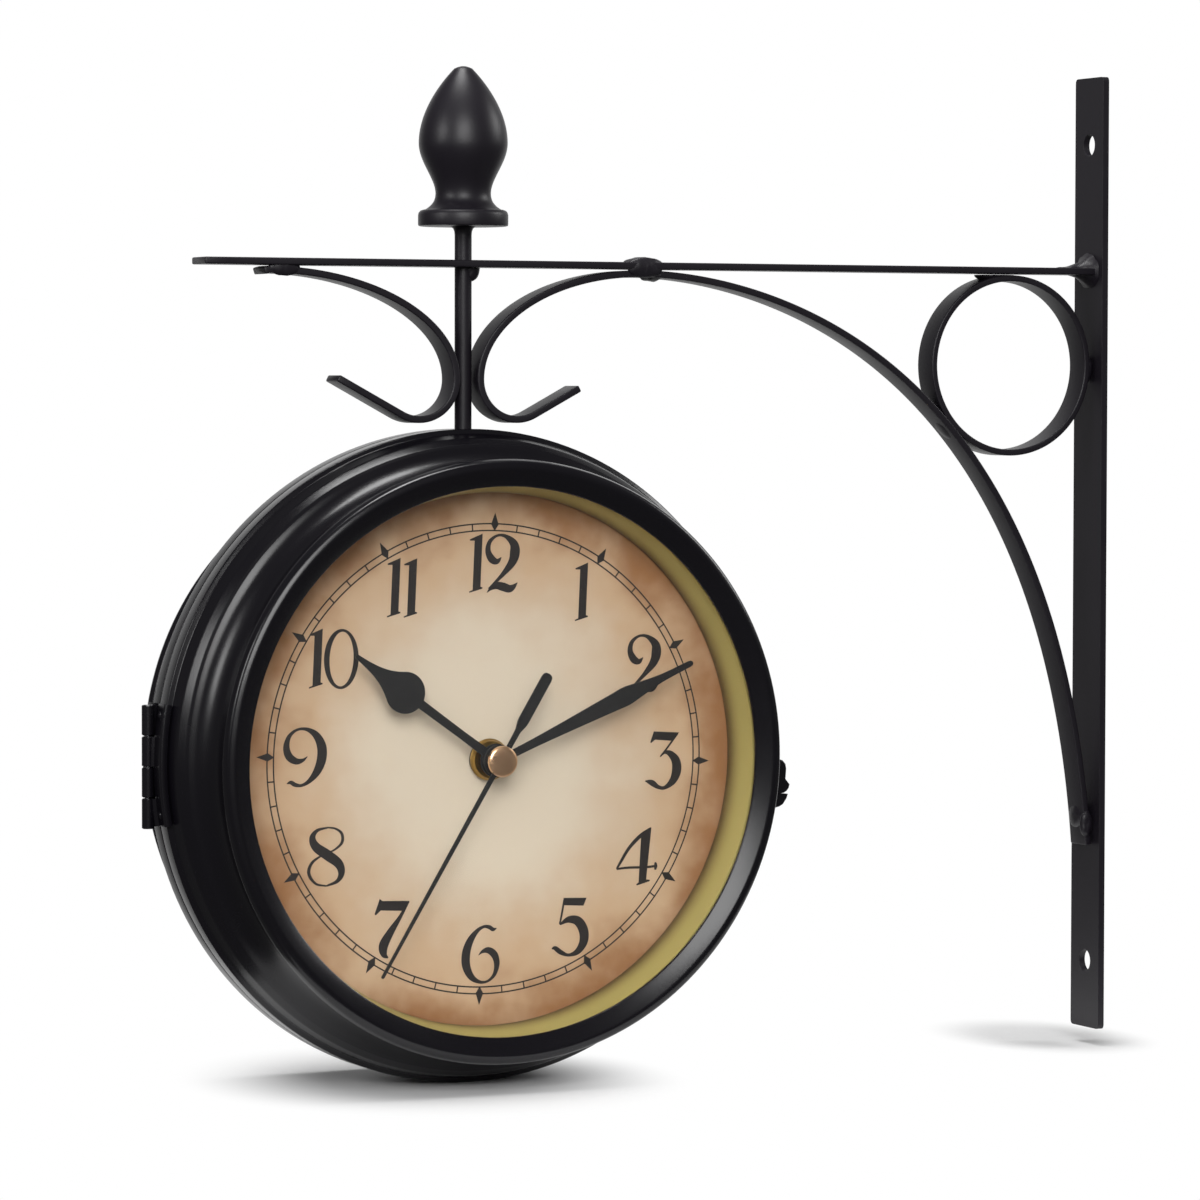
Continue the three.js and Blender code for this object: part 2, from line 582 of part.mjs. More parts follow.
function movementCase() {
  const half = MOVEMENT_SIDE / 2;
  const inner = half - MOVEMENT_CORNER;
  const outline = [[1, 1], [-1, 1], [-1, -1], [1, -1]].flatMap(([sx, sy], quarter) => arcPoints(
    vector(sx * inner, sy * inner),
    MOVEMENT_CORNER,
    (quarter * Math.PI) / 2,
    ((quarter + 1) * Math.PI) / 2,
    3,
  ));
  const block = plateAt(outline, MOVEMENT_BACK, MOVEMENT_FRONT);
  const bayLength = BATTERY_LENGTH + BATTERY_TERMINAL + 2 * CLEAR;
  const bayHalf = BATTERY_RADIUS + CLEAR;
  const bayFloor = MOVEMENT_BACK + 2 * BATTERY_RADIUS + CLEAR;
  const bay = boxOf(-bayLength / 2, bayLength / 2, -bayFloor, -MOVEMENT_BACK + HIDDEN,
    -BATTERY_DROP - bayHalf, -BATTERY_DROP + bayHalf);
  const bushHole = turnedRing(BUSH_RADIUS + CLEAR, 0, BUSH_INNER_END - CLEAR, MOVEMENT_FRONT + HIDDEN, 16);
  const knobFloor = MOVEMENT_BACK - KNOB_PROUD + KNOB_DEPTH;
  const knobWell = turnedRing(KNOB_RADIUS + 3 * CLEAR, 0, MOVEMENT_BACK - HIDDEN, knobFloor + CLEAR, 20);
  const knobBore = turnedRing(MINUTE_ARBOR_RADIUS + CLEAR, 0, MOVEMENT_BACK, knobFloor + KNOB_DEPTH + CLEAR, 12);
  knobWell.translate(KNOB_SIDE, 0, KNOB_RISE);
  knobBore.translate(KNOB_SIDE, 0, KNOB_RISE);
  return cut(block, bay, bushHole, knobWell, knobBore);
}

function battery() {
  const end = BATTERY_LENGTH / 2;
  const shift = BATTERY_TERMINAL / 2;
  const profile = [
    vector(0, -end - shift),
    vector(BATTERY_RADIUS - 0.6, -end - shift),
    vector(BATTERY_RADIUS, -end - shift + 0.6),
    vector(BATTERY_RADIUS, end - shift - 0.6),
    vector(BATTERY_RADIUS - 0.6, end - shift),
    vector(BATTERY_TERMINAL_RADIUS, end - shift),
    vector(BATTERY_TERMINAL_RADIUS, end + shift),
    vector(0, end + shift),
  ];
  const cell = closed(new THREE.LatheGeometry(profile, 14)).rotateZ(-Math.PI / 2);
  return cell.translate(0, -(MOVEMENT_BACK + BATTERY_RADIUS), -BATTERY_DROP);
}

// The knob at the back that sets the hands: a ribbed wheel on a short pivot.
function setKnob() {
  const rim = Array.from({ length: KNOB_TEETH * 2 }, (_, i) => {
    const angle = (Math.PI * i) / KNOB_TEETH;
    const radius = KNOB_RADIUS - (i % 2) * 0.45;
    return vector(radius * Math.cos(angle), radius * Math.sin(angle));
  });
  const back = MOVEMENT_BACK - KNOB_PROUD;
  const wheel = plateAt(rim, back, back + KNOB_DEPTH);
  const pivot = turnedRing(MINUTE_ARBOR_RADIUS, 0, back + KNOB_DEPTH - HIDDEN, back + 2 * KNOB_DEPTH, 12);
  return join(wheel, pivot);
}

function stemBush() {
  return turnedRing(BUSH_RADIUS, BUSH_BORE, BUSH_INNER_END, BUSH_FRONT, 16);
}

function stemWasher() {
  return turnedRing(WASHER_RADIUS, BUSH_RADIUS + CLEAR, DIAL_FACE + CLEAR, DIAL_FACE + CLEAR + WASHER_THICK, 16);
}

function stemNut() {
  const back = DIAL_FACE + 2 * CLEAR + WASHER_THICK;
  return hexNut(STEM_NUT_ACROSS_FLATS, BUSH_RADIUS + CLEAR, STEM_NUT_HEIGHT).translate(0, -back - STEM_NUT_HEIGHT / 2, 0);
}

function hourTube() {
  return turnedRing(HOUR_TUBE_RADIUS, HOUR_TUBE_BORE, BUSH_INNER_END, HOUR_HAND_FACE + CLEAR, 16);
}

function minuteArbor() {
  return turnedRing(MINUTE_ARBOR_RADIUS, MINUTE_ARBOR_BORE, BUSH_INNER_END, MINUTE_HAND_FACE + CLEAR, 12);
}

// A hand lies along +Z from its hub; right side of the outline first, mirrored for the left.
function handOutline(hubRadius, rightSide, tailSide) {
  const stemHalf = rightSide[0].x;
  const start = Math.asin(stemHalf / hubRadius);
  const tailHalf = tailSide.length > 0 ? tailSide[0].x : 0;
  const end = Math.PI - Math.asin(tailHalf / hubRadius);
  const hub = Array.from({ length: 7 }, (_, i) => {
    const angle = end + ((start - end) * i) / 6;
    return vector(hubRadius * Math.sin(angle), hubRadius * Math.cos(angle));
  });
  const right = [...tailSide.toReversed(), ...hub, ...rightSide];
  const left = right.filter((point) => point.x > 1e-6).map((point) => vector(-point.x, point.y)).reverse();
  return [...right, ...left];
}

function hand(outline, face, bore, hub) {
  const blade = plateAt(outline, face - HAND_THICK, face);
  const collet = turnedRing(hub, 0, face - HAND_THICK - CLEAR, face, 16);
  const hole = turnedRing(bore, 0, face - 3 * HAND_THICK, face + HIDDEN, 16);
  return cut(join(blade, collet), hole);
}

function hourHand() {
  const half = STEM_WIDTH / 2;
  const discStart = Math.asin(half / SPADE_RADIUS);
  const disc = Array.from({ length: 7 }, (_, i) => {
    const angle = Math.PI - discStart + ((0.86 - (Math.PI - discStart)) * i) / 6;
    return vector(SPADE_RADIUS * Math.sin(angle), SPADE_CENTRE + SPADE_RADIUS * Math.cos(angle));
  });
  const shoulder = disc[disc.length - 1];
  const tip = bezierPoints(shoulder, vector(2.2, SPADE_CENTRE + 8), vector(1.3, SPADE_CENTRE + 11),
    vector(0.7, HOUR_HAND_LENGTH), 4).slice(1);
  const side = [vector(half * 0.9, 12), ...disc, ...tip];
  return hand(handOutline(HOUR_HUB_RADIUS, [vector(half, HOUR_HUB_RADIUS), ...side], []),
    HOUR_HAND_FACE, HOUR_TUBE_RADIUS + CLEAR, HOUR_HUB_RADIUS - CLEAR);
}

function minuteHand() {
  const half = STEM_WIDTH / 2;
  const side = [
    vector(half * 0.9, MINUTE_HUB_RADIUS),
    vector(half, LANCE_CENTRE * 0.3),
    vector(LANCE_WIDTH / 2 - 0.3, LANCE_CENTRE - 5),
    vector(LANCE_WIDTH / 2, LANCE_CENTRE),
    vector(LANCE_WIDTH / 2 - 0.5, LANCE_CENTRE + 4),
    vector(1.25, LANCE_CENTRE + 13),
    vector(0.9, MINUTE_HAND_LENGTH - 0.9),
    vector(0.45, MINUTE_HAND_LENGTH),
  ];
  return hand(handOutline(MINUTE_HUB_RADIUS, side, []),
    MINUTE_HAND_FACE, MINUTE_ARBOR_RADIUS + CLEAR, MINUTE_HUB_RADIUS - CLEAR);
}

function secondHand() {
  const half = COUNTERWEIGHT_WIDTH / 2;
  const needle = [
    vector(0.75, SECOND_HUB_RADIUS),
    vector(0.45, SECOND_HAND_LENGTH - 0.4),
    vector(0.2, SECOND_HAND_LENGTH),
  ];
  const tail = [
    vector(0.8, -SECOND_HUB_RADIUS),
    vector(0.9, -10.5),
    vector(half, -14),
    vector(half, -COUNTERWEIGHT_END + 0.8),
    vector(half - 0.8, -COUNTERWEIGHT_END),
  ];
  const blade = plateAt(handOutline(SECOND_HUB_RADIUS, needle, tail), SECOND_HAND_FACE - HAND_THICK, SECOND_HAND_FACE);
  const pin = turnedRing(SECOND_PIN_RADIUS, 0, BUSH_INNER_END, SECOND_HAND_FACE, 12);
  return join(blade, pin);
}

function secondCap() {
  const back = SECOND_HAND_FACE + CLEAR;
  const front = back + CAP_THICK;
  const profile = [
    vector(0, back),
    vector(CAP_RADIUS, back),
    vector(CAP_RADIUS, front - 0.7),
    vector(CAP_RADIUS - 0.25, front - 0.25),
    vector(CAP_RADIUS - 0.9, front - 0.05),
    vector(0, front),
  ];
  return turned(profile, 16);
}

// Everything behind one bezel, built facing -Y about the middle of the case.
function halfCase(side) {
  const half = new THREE.Group();
  const hourAngle = (SHOWN_HOURS / 12) * 2 * Math.PI;
  const minuteAngle = (SHOWN_MINUTES / 60) * 2 * Math.PI;
  const secondAngle = (SHOWN_SECONDS / 60) * 2 * Math.PI;
  const add = (name, geometry, material, clockwise = 0) => {
    const mesh = piece(`${side}_${name}`, geometry, material);
    mesh.rotation.y = clockwise;
    half.add(mesh);
  };
  add('shell', shell(), powderCoat);
  add('lens', lens(), clearGlass);
  add('reflector', reflector(), goldPlastic);
  add('dial', dial(), dialPaper);
  add('movement_case', movementCase(), blackPlastic);
  add('battery', battery(), batteryJacket);
  add('stem_bush', stemBush(), brass);
  add('stem_washer', stemWasher(), rubber);
  add('stem_nut', stemNut(), brass);
  add('hour_tube', hourTube(), blackPlastic, hourAngle);
  add('hour_hand', hourHand(), handBlack, hourAngle);
  add('minute_arbor', minuteArbor(), brass, minuteAngle);
  add('minute_hand', minuteHand(), handBlack, minuteAngle);
  add('second_hand', secondHand(), handBlack, secondAngle);
  add('second_cap', secondCap(), copper);
  const knob = piece(`${side}_set_knob`, setKnob(), blackPlastic);
  knob.position.set(KNOB_SIDE, 0, KNOB_RISE);
  half.add(knob);
  return half;
}

// ---------------------------------------------------------------- hinge

// One leaf with every second knuckle; forward is 1 for the leaf on the front shell.
// It is curved with the rim and turned in over the rim's edge.
function hingeLeaf(forward, firstKnuckle) {
  const pitch = HINGE_LENGTH / KNUCKLES;
  const height = HINGE_LENGTH / 2;
  const inner = RIM_RADIUS + CLEAR;
  const outer = inner + LEAF_THICK;
  const gap = KNUCKLE_RADIUS + CLEAR;
  const edge = RIM_DEPTH + RIM_STEP * 0.6 + CLEAR;
  const band = turned([
    vector(inner, gap),
    vector(outer, gap),
    vector(outer, edge + LEAF_THICK),
    vector(inner - LEAF_HOOK, edge + LEAF_THICK),
    vector(inner - LEAF_HOOK, edge),
    vector(inner, edge),
    vector(inner, gap),
  ]);
  const window = boxOf(-RIM_RADIUS - BLOCK, -RIM_RADIUS / 2, -BLOCK, BLOCK, -height, height);
  let leaf = common(band.translate(0, 0, HINGE_DROP), window);
  for (let i = firstKnuckle; i < KNUCKLES; i += 2) {
    const z1 = height - i * pitch - (i === 0 ? 0 : CLEAR / 2);
    const z0 = height - (i + 1) * pitch + (i === KNUCKLES - 1 ? 0 : CLEAR / 2);
    const knuckle = uprightBar(KNUCKLE_RADIUS, z0, z1, -HINGE_AXIS, 0, 14);
    const tongue = boxOf(-HINGE_AXIS, -RIM_RADIUS + 3, -gap - 0.6, 0, z0, z1);
    leaf = join(leaf, knuckle, tongue);
  }
  const rim = turnedRing(inner, 0, -2 * gap, 2 * gap).translate(0, 0, HINGE_DROP);
  const pinHole = uprightBar(HINGE_PIN_RADIUS + CLEAR, -height - HIDDEN, height + HIDDEN, -HINGE_AXIS, 0, 12);
  return cut(leaf, rim, pinHole).scale(1, forward, 1);
}

function hingePin() {
  return uprightBar(HINGE_PIN_RADIUS, -HINGE_LENGTH / 2, HINGE_LENGTH / 2, -HINGE_AXIS, 0, 12);
}

// ---------------------------------------------------------------- draw latch

// Points are out from the rim and forward of the seam; the outline becomes a plate between two heights.
function latchPlate(outline, z0, z1) {
  const shape = new THREE.Shape(outline.map((point) => vector(RIM_RADIUS + point.x, -point.y)));
  return new THREE.ExtrudeGeometry(shape, { depth: z1 - z0, bevelEnabled: false }).translate(0, 0, z0);
}

function latchBase() {
  const low = CLEAR;
  const high = CLEAR + LATCH_PLATE_THICK;
  const earInner = LEVER_HALF_WIDTH + CLEAR;
  const earOuter = earInner + EAR_THICK;
  const frontEdge = RIM_DEPTH - 0.4;
  const plateOutline = [vector(low, CLEAR), vector(high, CLEAR), vector(high, frontEdge), vector(low, frontEdge)];
  const earOutline = [
    vector(low, LATCH_PIVOT.y - KNUCKLE_ROUND),
    vector(low, LATCH_PIVOT.y + KNUCKLE_ROUND),
    ...arcPoints(LATCH_PIVOT, KNUCKLE_ROUND, Math.PI / 2, -Math.PI / 2, 8),
  ];
  const plate = latchPlate(plateOutline, -earOuter, earOuter);
  const ears = [latchPlate(earOutline, earInner, earOuter), latchPlate(earOutline, -earOuter, -earInner)];
  const pinHole = acrossLatch(LATCH_PIN_RADIUS + CLEAR, earOuter + HIDDEN, LATCH_PIVOT);
  return cut(join(plate, ...ears), pinHole);
}

function latchPin() {
  return acrossLatch(LATCH_PIN_RADIUS, LEVER_HALF_WIDTH + CLEAR + EAR_THICK, LATCH_PIVOT);
}

// A round bar across the latch.
function acrossLatch(radius, half, pivot, steps = 12) {
  return uprightBar(radius, -half, half, RIM_RADIUS + pivot.x, -pivot.y, steps);
}

// Section of the lever, out from the rim and up; inset runs it along the inside of the sheet.
function leverSection(inset) {
  const low = LATCH_PIVOT.x - KNUCKLE_ROUND - inset;
  const high = LATCH_PIVOT.x + KNUCKLE_ROUND - inset;
  const half = LEVER_HALF_WIDTH - inset;
  const round = LEVER_ROUND - inset;
  return [
    vector(low, -half),
    ...arcPoints(vector(high - round, round - half), round, -Math.PI / 2, 0, 3),
    ...arcPoints(vector(high - round, half - round), round, 0, Math.PI / 2, 3),
    vector(low, half),
  ];
}

function alongLever(section, back, front) {
  const outline = section.map((point) => vector(RIM_RADIUS + point.x, point.y));
  return acrossY(outline, front - back, -(front + back) / 2);
}

// End of the lever: a wedge above the notch and a taller round tab below it.
function thumbSection() {
  const low = LATCH_PIVOT.x - KNUCKLE_ROUND;
  const ridge = LATCH_PIVOT.x + KNUCKLE_ROUND;
  const half = LEVER_HALF_WIDTH + EAR_THICK + CLEAR;
  return [
    vector(low, -half),
    ...arcPoints(vector(THUMB_HEIGHT - LEVER_ROUND, LEVER_ROUND - half), LEVER_ROUND, -Math.PI / 2, 0, 4),
    vector(ridge - CLEAR, -THUMB_NOTCH),
    vector(ridge, CLEAR - THUMB_NOTCH),
    vector(ridge, 0),
    vector(low + CLEAR, half),
    vector(low, half),
  ];
}

// A pressed channel with a closed thumb end; its cheeks hold the pivot and the bail.
function latchLever() {
  const body = alongLever(leverSection(0), LATCH_PIVOT.y, LEVER_TIP_DEPTH);
  const knuckle = acrossLatch(KNUCKLE_ROUND, LEVER_HALF_WIDTH, LATCH_PIVOT, 14);
  const hollow = alongLever(leverSection(LEVER_WALL), LATCH_PIVOT.y - 2 * KNUCKLE_ROUND, LEVER_TIP_DEPTH - LEVER_WALL);
  const thumb = alongLever(thumbSection(), LEVER_TIP_DEPTH - THUMB_LENGTH, LEVER_TIP_DEPTH);
  const reach = LEVER_HALF_WIDTH + HIDDEN;
  return cut(
    join(body, knuckle, thumb),
    hollow,
    acrossLatch(LATCH_PIN_RADIUS + CLEAR, reach, LATCH_PIVOT),
    acrossLatch(WIRE_RADIUS + CLEAR, reach, BAIL_PIVOT),
  );
}

// A wire loop: in through the lever's cheeks, back past the seam and across behind the catch.
function latchBail() {
  const arm = LEVER_HALF_WIDTH + 2 * CLEAR + EAR_THICK + WIRE_RADIUS;
  const wireY = CATCH_LIP_FACE + CLEAR + WIRE_RADIUS;
  const out = RIM_RADIUS + BAIL_PIVOT.x;
  const stub = LEVER_HALF_WIDTH - LEVER_WALL;
  const bar = (from, to) => {
    const line = new THREE.LineCurve3(from, to);
    return new THREE.ExtrudeGeometry(wireSection(), { steps: 1, extrudePath: line, bevelEnabled: false });
  };
  const corner = (y, z) => new THREE.SphereGeometry(WIRE_RADIUS, 8, 4).translate(out, y, z);
  const at = (y, z) => new THREE.Vector3(out, y, z);
  const solids = [bar(at(wireY, -arm), at(wireY, arm))];
  for (const side of [1, -1]) {
    solids.push(bar(at(-BAIL_PIVOT.y, side * arm), at(wireY, side * arm)));
    solids.push(bar(at(-BAIL_PIVOT.y, side * stub), at(-BAIL_PIVOT.y, side * arm)));
    solids.push(corner(wireY, side * arm), corner(-BAIL_PIVOT.y, side * arm));
  }
  return join(...solids);
}

function wireSection() {
  return new THREE.Shape(arcPoints(vector(0, 0), WIRE_RADIUS, 0, 2 * Math.PI, 8).slice(1));
}

// A folded plate on the rear rim; the bail pulls on its upright lip.
function latchCatch() {
  const low = CLEAR;
  const high = CLEAR + LATCH_PLATE_THICK;
  const lipBack = CATCH_LIP_FACE - LATCH_PLATE_THICK;
  const outline = [
    vector(low, -CLEAR),
    vector(low, -CATCH_LIP_FACE),
    vector(CATCH_LIP_HEIGHT, -CATCH_LIP_FACE),
    vector(CATCH_LIP_HEIGHT, -lipBack),
    vector(high, -lipBack),
    vector(high, -CLEAR),
  ];
  const half = LEVER_HALF_WIDTH - CLEAR;
  return latchPlate(outline, -half, half);
}

// ---------------------------------------------------------------- assembly

const clock = new THREE.Group();

const bracket = new THREE.Group();
bracket.add(piece('wall_plate', wallPlate(), powderCoat));
bracket.add(piece('arm_bar', armBar(), powderCoat));
bracket.add(piece('arch_brace', archBrace(), powderCoat));
bracket.add(piece('left_scroll', leftScroll(), powderCoat));
bracket.add(piece('brace_ring', braceRing(), powderCoat));
bracket.add(piece('hanger_rod', hangerRod(), powderCoat));
bracket.add(piece('finial', finial(), powderCoat));
const rodNut = hexNut(NUT_ACROSS_FLATS, ROD_RADIUS + CLEAR, NUT_HEIGHT).rotateX(Math.PI / 2);
bracket.add(piece('rod_nut', rodNut.translate(ROD_X, 0, NUT_TOP - NUT_HEIGHT / 2), zincSteel));
clock.add(bracket);

const caseGroup = new THREE.Group();
caseGroup.position.set(ROD_X, 0, CASE_Z);
caseGroup.add(halfCase('front'));
const rearHalf = halfCase('rear');
rearHalf.rotation.z = Math.PI;
caseGroup.add(rearHalf);

const hinge = new THREE.Group();
hinge.position.z = -HINGE_DROP;
hinge.add(piece('hinge_leaf_front', hingeLeaf(1, 1), powderCoat));
hinge.add(piece('hinge_leaf_rear', hingeLeaf(-1, 0), powderCoat));
hinge.add(piece('hinge_pin', hingePin(), zincSteel));
caseGroup.add(hinge);

const latch = new THREE.Group();
latch.rotation.y = LATCH_TURN;
latch.add(piece('latch_base', latchBase(), powderCoat));
latch.add(piece('latch_lever', latchLever(), powderCoat));
latch.add(piece('latch_bail', latchBail(), zincSteel));
latch.add(piece('latch_pin', latchPin(), zincSteel));
latch.add(piece('latch_catch', latchCatch(), powderCoat));
caseGroup.add(latch);
clock.add(caseGroup);

export default clock;
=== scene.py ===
"""Looks of the double sided station clock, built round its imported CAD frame.

The origin is the middle of the wall plate's back face. The bracket reaches out towards -X,
the front dial faces -Y and +Z is up. Lengths in the code are millimetres unless they say otherwise.
"""

import math

import bmesh
import bpy
from mathutils import Matrix, Vector, noise


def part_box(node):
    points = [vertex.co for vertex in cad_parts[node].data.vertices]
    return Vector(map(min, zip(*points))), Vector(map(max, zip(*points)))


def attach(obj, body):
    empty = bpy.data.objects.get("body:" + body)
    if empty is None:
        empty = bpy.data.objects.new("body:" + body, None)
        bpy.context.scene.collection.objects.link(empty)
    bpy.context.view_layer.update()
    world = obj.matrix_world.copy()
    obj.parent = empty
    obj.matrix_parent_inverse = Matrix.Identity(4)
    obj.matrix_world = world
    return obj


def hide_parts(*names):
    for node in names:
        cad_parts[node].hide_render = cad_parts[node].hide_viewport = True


bl_info = {
    "name": "Station clock looks",
    "version": (1, 0, 0),
    "blender": (4, 5, 0),
    "location": "3D View > Sidebar > Clock",
    "description": "Builds the finished surfaces of a double sided bracket clock",
    "category": "Object",
}

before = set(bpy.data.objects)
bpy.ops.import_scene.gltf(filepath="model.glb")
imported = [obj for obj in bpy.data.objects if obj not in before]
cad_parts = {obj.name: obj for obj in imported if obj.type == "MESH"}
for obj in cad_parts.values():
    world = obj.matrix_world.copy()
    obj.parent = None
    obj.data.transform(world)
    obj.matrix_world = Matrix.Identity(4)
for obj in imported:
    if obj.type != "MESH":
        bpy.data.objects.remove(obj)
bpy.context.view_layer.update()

MM = 0.001
SIDES = ("front", "rear")
FIXED_BODY = {"front": "door", "rear": "bracket"}

# places and sizes shared by several pieces
PLATE_WIDTH = 18.0
PLATE_HEIGHT = 312.0
PLATE_THICK = 2.2
SCREW_HOLE_Z = 134.0
SCREW_HOLE_RADIUS = 3.6
ROD_X = -225.4
ROD_RADIUS = 2.65
CASE_Z = -60.0
RIM_RADIUS = 101.5
SEAM = 0.15
SHEET = 1.2
NECK_RADIUS = 89.4
OPENING_RADIUS = 84.2
OPENING_DEPTH = 35.4
STACK_RADIUS = 87.9
DIAL_FACE = 18.3
DIAL_BACK = 17.1
DIAL_TABS = 6
LENS_BACK = 31.9
LENS_FACE = 33.9
HAND_THICK = 0.6
ARM_WIDTH = 12.0
ARM_TOP = 93.7
ARM_BOTTOM = 91.5
LEFT_WELD_X = -286.5
STRIP_THICK = 2.2
STRIP_WIDTH = 10.0
STRIP_TOP_Z = 91.2
STRIP_LINE_Z = STRIP_TOP_Z - STRIP_THICK / 2
ARCH_APEX_X = -166.0
ARCH_FOOT_Z = -95.5
RING_CENTRE = (-33.6, 61.8)
RING_RADIUS = 29.3
FINIAL_BASE_Z = 104.2
FINIAL_HEIGHT = 49.5

# dial printing
NUMERAL_CIRCLE = 60.2
TRACK_IN = 70.4
TRACK_OUT = 72.5
DIAL_TURN = 2.0

# a place that no weld bead reaches
NO_LIMIT = 1e3
# corners nearer than this are merged, in metres
MERGE = 2e-6
# edges sharper than this stay sharp, in degrees
SHARP = 32.0


# ---------------------------------------------------------------- settings


def linear(hex_colour):
    """A colour written as sRGB hex, as the linear numbers that shaders take."""
    channels = [int(hex_colour[i : i + 2], 16) / 255 for i in (1, 3, 5)]
    return tuple(c / 12.92 if c <= 0.04045 else ((c + 0.055) / 1.055) ** 2.4 for c in channels)


def opaque(colour):
    return (*colour, 1.0)


def colour_setting(name, description, hex_colour):
    return bpy.props.FloatVectorProperty(
        name=name, description=description, subtype="COLOR", size=3, min=0, max=1, default=linear(hex_colour)
    )


def length_setting(name, description, default):
    return bpy.props.FloatProperty(
        name=name, description=description, subtype="DISTANCE", unit="LENGTH", min=0, default=default
    )


class StationClockSettings(bpy.types.PropertyGroup):
    edge_round: length_setting("Bar edge rounding", "Radius of the rolled edges of the flat bar", 0.0005)
    weld_lump: length_setting("Weld lump height", "Height of the ripples on the weld beads", 0.00022)
    track_line: length_setting("Minute track line", "Width of the printed lines of the minute track", 0.00045)
    numeral_height: length_setting("Numeral height", "Height of the printed hour numerals", 0.0183)
    coat_colour: colour_setting("Powder coat", "Colour of the coat on bracket and case", "#1B171F")
    case_colour: colour_setting("Case enamel", "Colour of the enamel on case and hinge", "#0F0D13")
    hand_colour: colour_setting("Hand enamel", "Colour of the enamel on the hands", "#0E0E0F")
    card_colour: colour_setting("Dial centre", "Colour of the card at the middle of the dial", "#DACCB5")
    card_tan: colour_setting("Dial field", "Colour of the card under the numerals", "#C5A684")
    card_edge: colour_setting("Dial edge", "Colour of the aged rim of the card", "#96683E")
    ink_colour: colour_setting("Dial ink", "Colour of the numerals and the minute track", "#1C1513")
    gold_colour: colour_setting("Reflector ring", "Colour of the ring between dial and glass", "#A69A5B")
    cap_colour: colour_setting("Hand cap", "Colour of the copper plated cap", "#E8BF98")
    brass_colour: colour_setting("Brass", "Colour of the turned brass fittings", "#A8884A")
    zinc_colour: colour_setting("Zinc plate", "Colour of the plated pins, wire and nut", "#A3A5A8")
    case_plastic: colour_setting("Movement plastic", "Colour of the moulded movement case", "#1B1C1E")
    jacket_colour: colour_setting("Battery sleeve", "Colour of the sleeve on the cell", "#5B6470")
    floor_colour: colour_setting("Floor", "Colour of the studio floor", "#F2F2F2")


# ---------------------------------------------------------------- materials


def add_node(tree, kind, settings=None, inputs=None):
    """A shader node with its settings; an input is a value, or a socket to link from."""
    node = tree.nodes.new(kind)
    for name, value in (settings or {}).items():
        setattr(node, name, value)
    for key, value in (inputs or {}).items():
        if isinstance(value, bpy.types.NodeSocket):
            tree.links.new(value, node.inputs[key])
        else:
            node.inputs[key].default_value = value
    return node


def finish(name):
    """Makes the material of that name once; the function below it lays the nodes and gives the shader."""

    def wrap(lay_nodes):
        def material_for(settings):
            found = bpy.data.materials.get(name)
            if found is not None:
                return found
            material = bpy.data.materials.new(name)
            material.use_nodes = True
            tree = material.node_tree
            tree.nodes.clear()
            place = add_node(tree, "ShaderNodeTexCoord").outputs["Object"]
            shader = lay_nodes(tree, place, settings)
            add_node(tree, "ShaderNodeOutputMaterial", inputs={"Surface": shader})
            return material

        return material_for

    return wrap


def drifting(tree, place, patches, detail, low, high, spread=(0.3, 0.7), roughness=0.5):
    """A value that wanders between low and high, with so many patches to the metre."""
    cloud = add_node(
        tree,
        "ShaderNodeTexNoise",
        inputs={"Vector": place, "Scale": patches, "Detail": detail, "Roughness": roughness},
    )
    limits = {"From Min": spread[0], "From Max": spread[1], "To Min": low, "To Max": high}
    value = add_node(tree, "ShaderNodeMapRange", inputs={"Value": cloud.outputs["Fac"], **limits})
    return value.outputs["Result"]


def fine_grain(tree, place, cells, detail, strength, height):
    """Grain in the surface, with so many cells to the metre; its height is in metres."""
    grain = add_node(tree, "ShaderNodeTexNoise", inputs={"Vector": place, "Scale": cells, "Detail": detail})
    relief = {"Height": grain.outputs["Fac"], "Strength": strength, "Distance": height}
    return add_node(tree, "ShaderNodeBump", inputs=relief).outputs["Normal"]


def black_paint(tree, place, colour, low, high, peel_height):
    """Black paint on steel: orange peel softens each highlight, and the sheen drifts between low and high."""
    look = {
        "Base Color": opaque(colour),
        # cloudy patches in the sheen, 40 mm across
        "Roughness": drifting(tree, place, 25.0, 3.0, low, high),
        # orange peel with cells of about 1 mm
        "Normal": fine_grain(tree, place, 900.0, 2.0, 0.25, peel_height),
    }
    return add_node(tree, "ShaderNodeBsdfPrincipled", inputs=look).outputs["BSDF"]


@finish("satin black powder coated steel")
def powder_coat(tree, place, settings):
    """Satin black polyester powder, as on the bracket: broad soft highlights."""
    return black_paint(tree, place, settings.coat_colour, 0.38, 0.48, 0.00006)


@finish("semi gloss black enamelled steel")
def case_enamel(tree, place, settings):
    """Semi gloss stoving enamel on spun steel, as on the case: deep black with sharper edge lights."""
    return black_paint(tree, place, settings.case_colour, 0.2, 0.28, 0.00003)


@finish("matt black stoved enamel")
def hand_enamel(tree, place, settings):
    """Stoved matt enamel on stamped sheet: nearly even black, with a grain 0.7 mm across."""
    look = {
        "Base Color": opaque(settings.hand_colour),
        "Roughness": 0.55,
        "Normal": fine_grain(tree, place, 1400.0, 2.0, 0.2, 0.00003),
    }
    return add_node(tree, "ShaderNodeBsdfPrincipled", inputs=look).outputs["BSDF"]


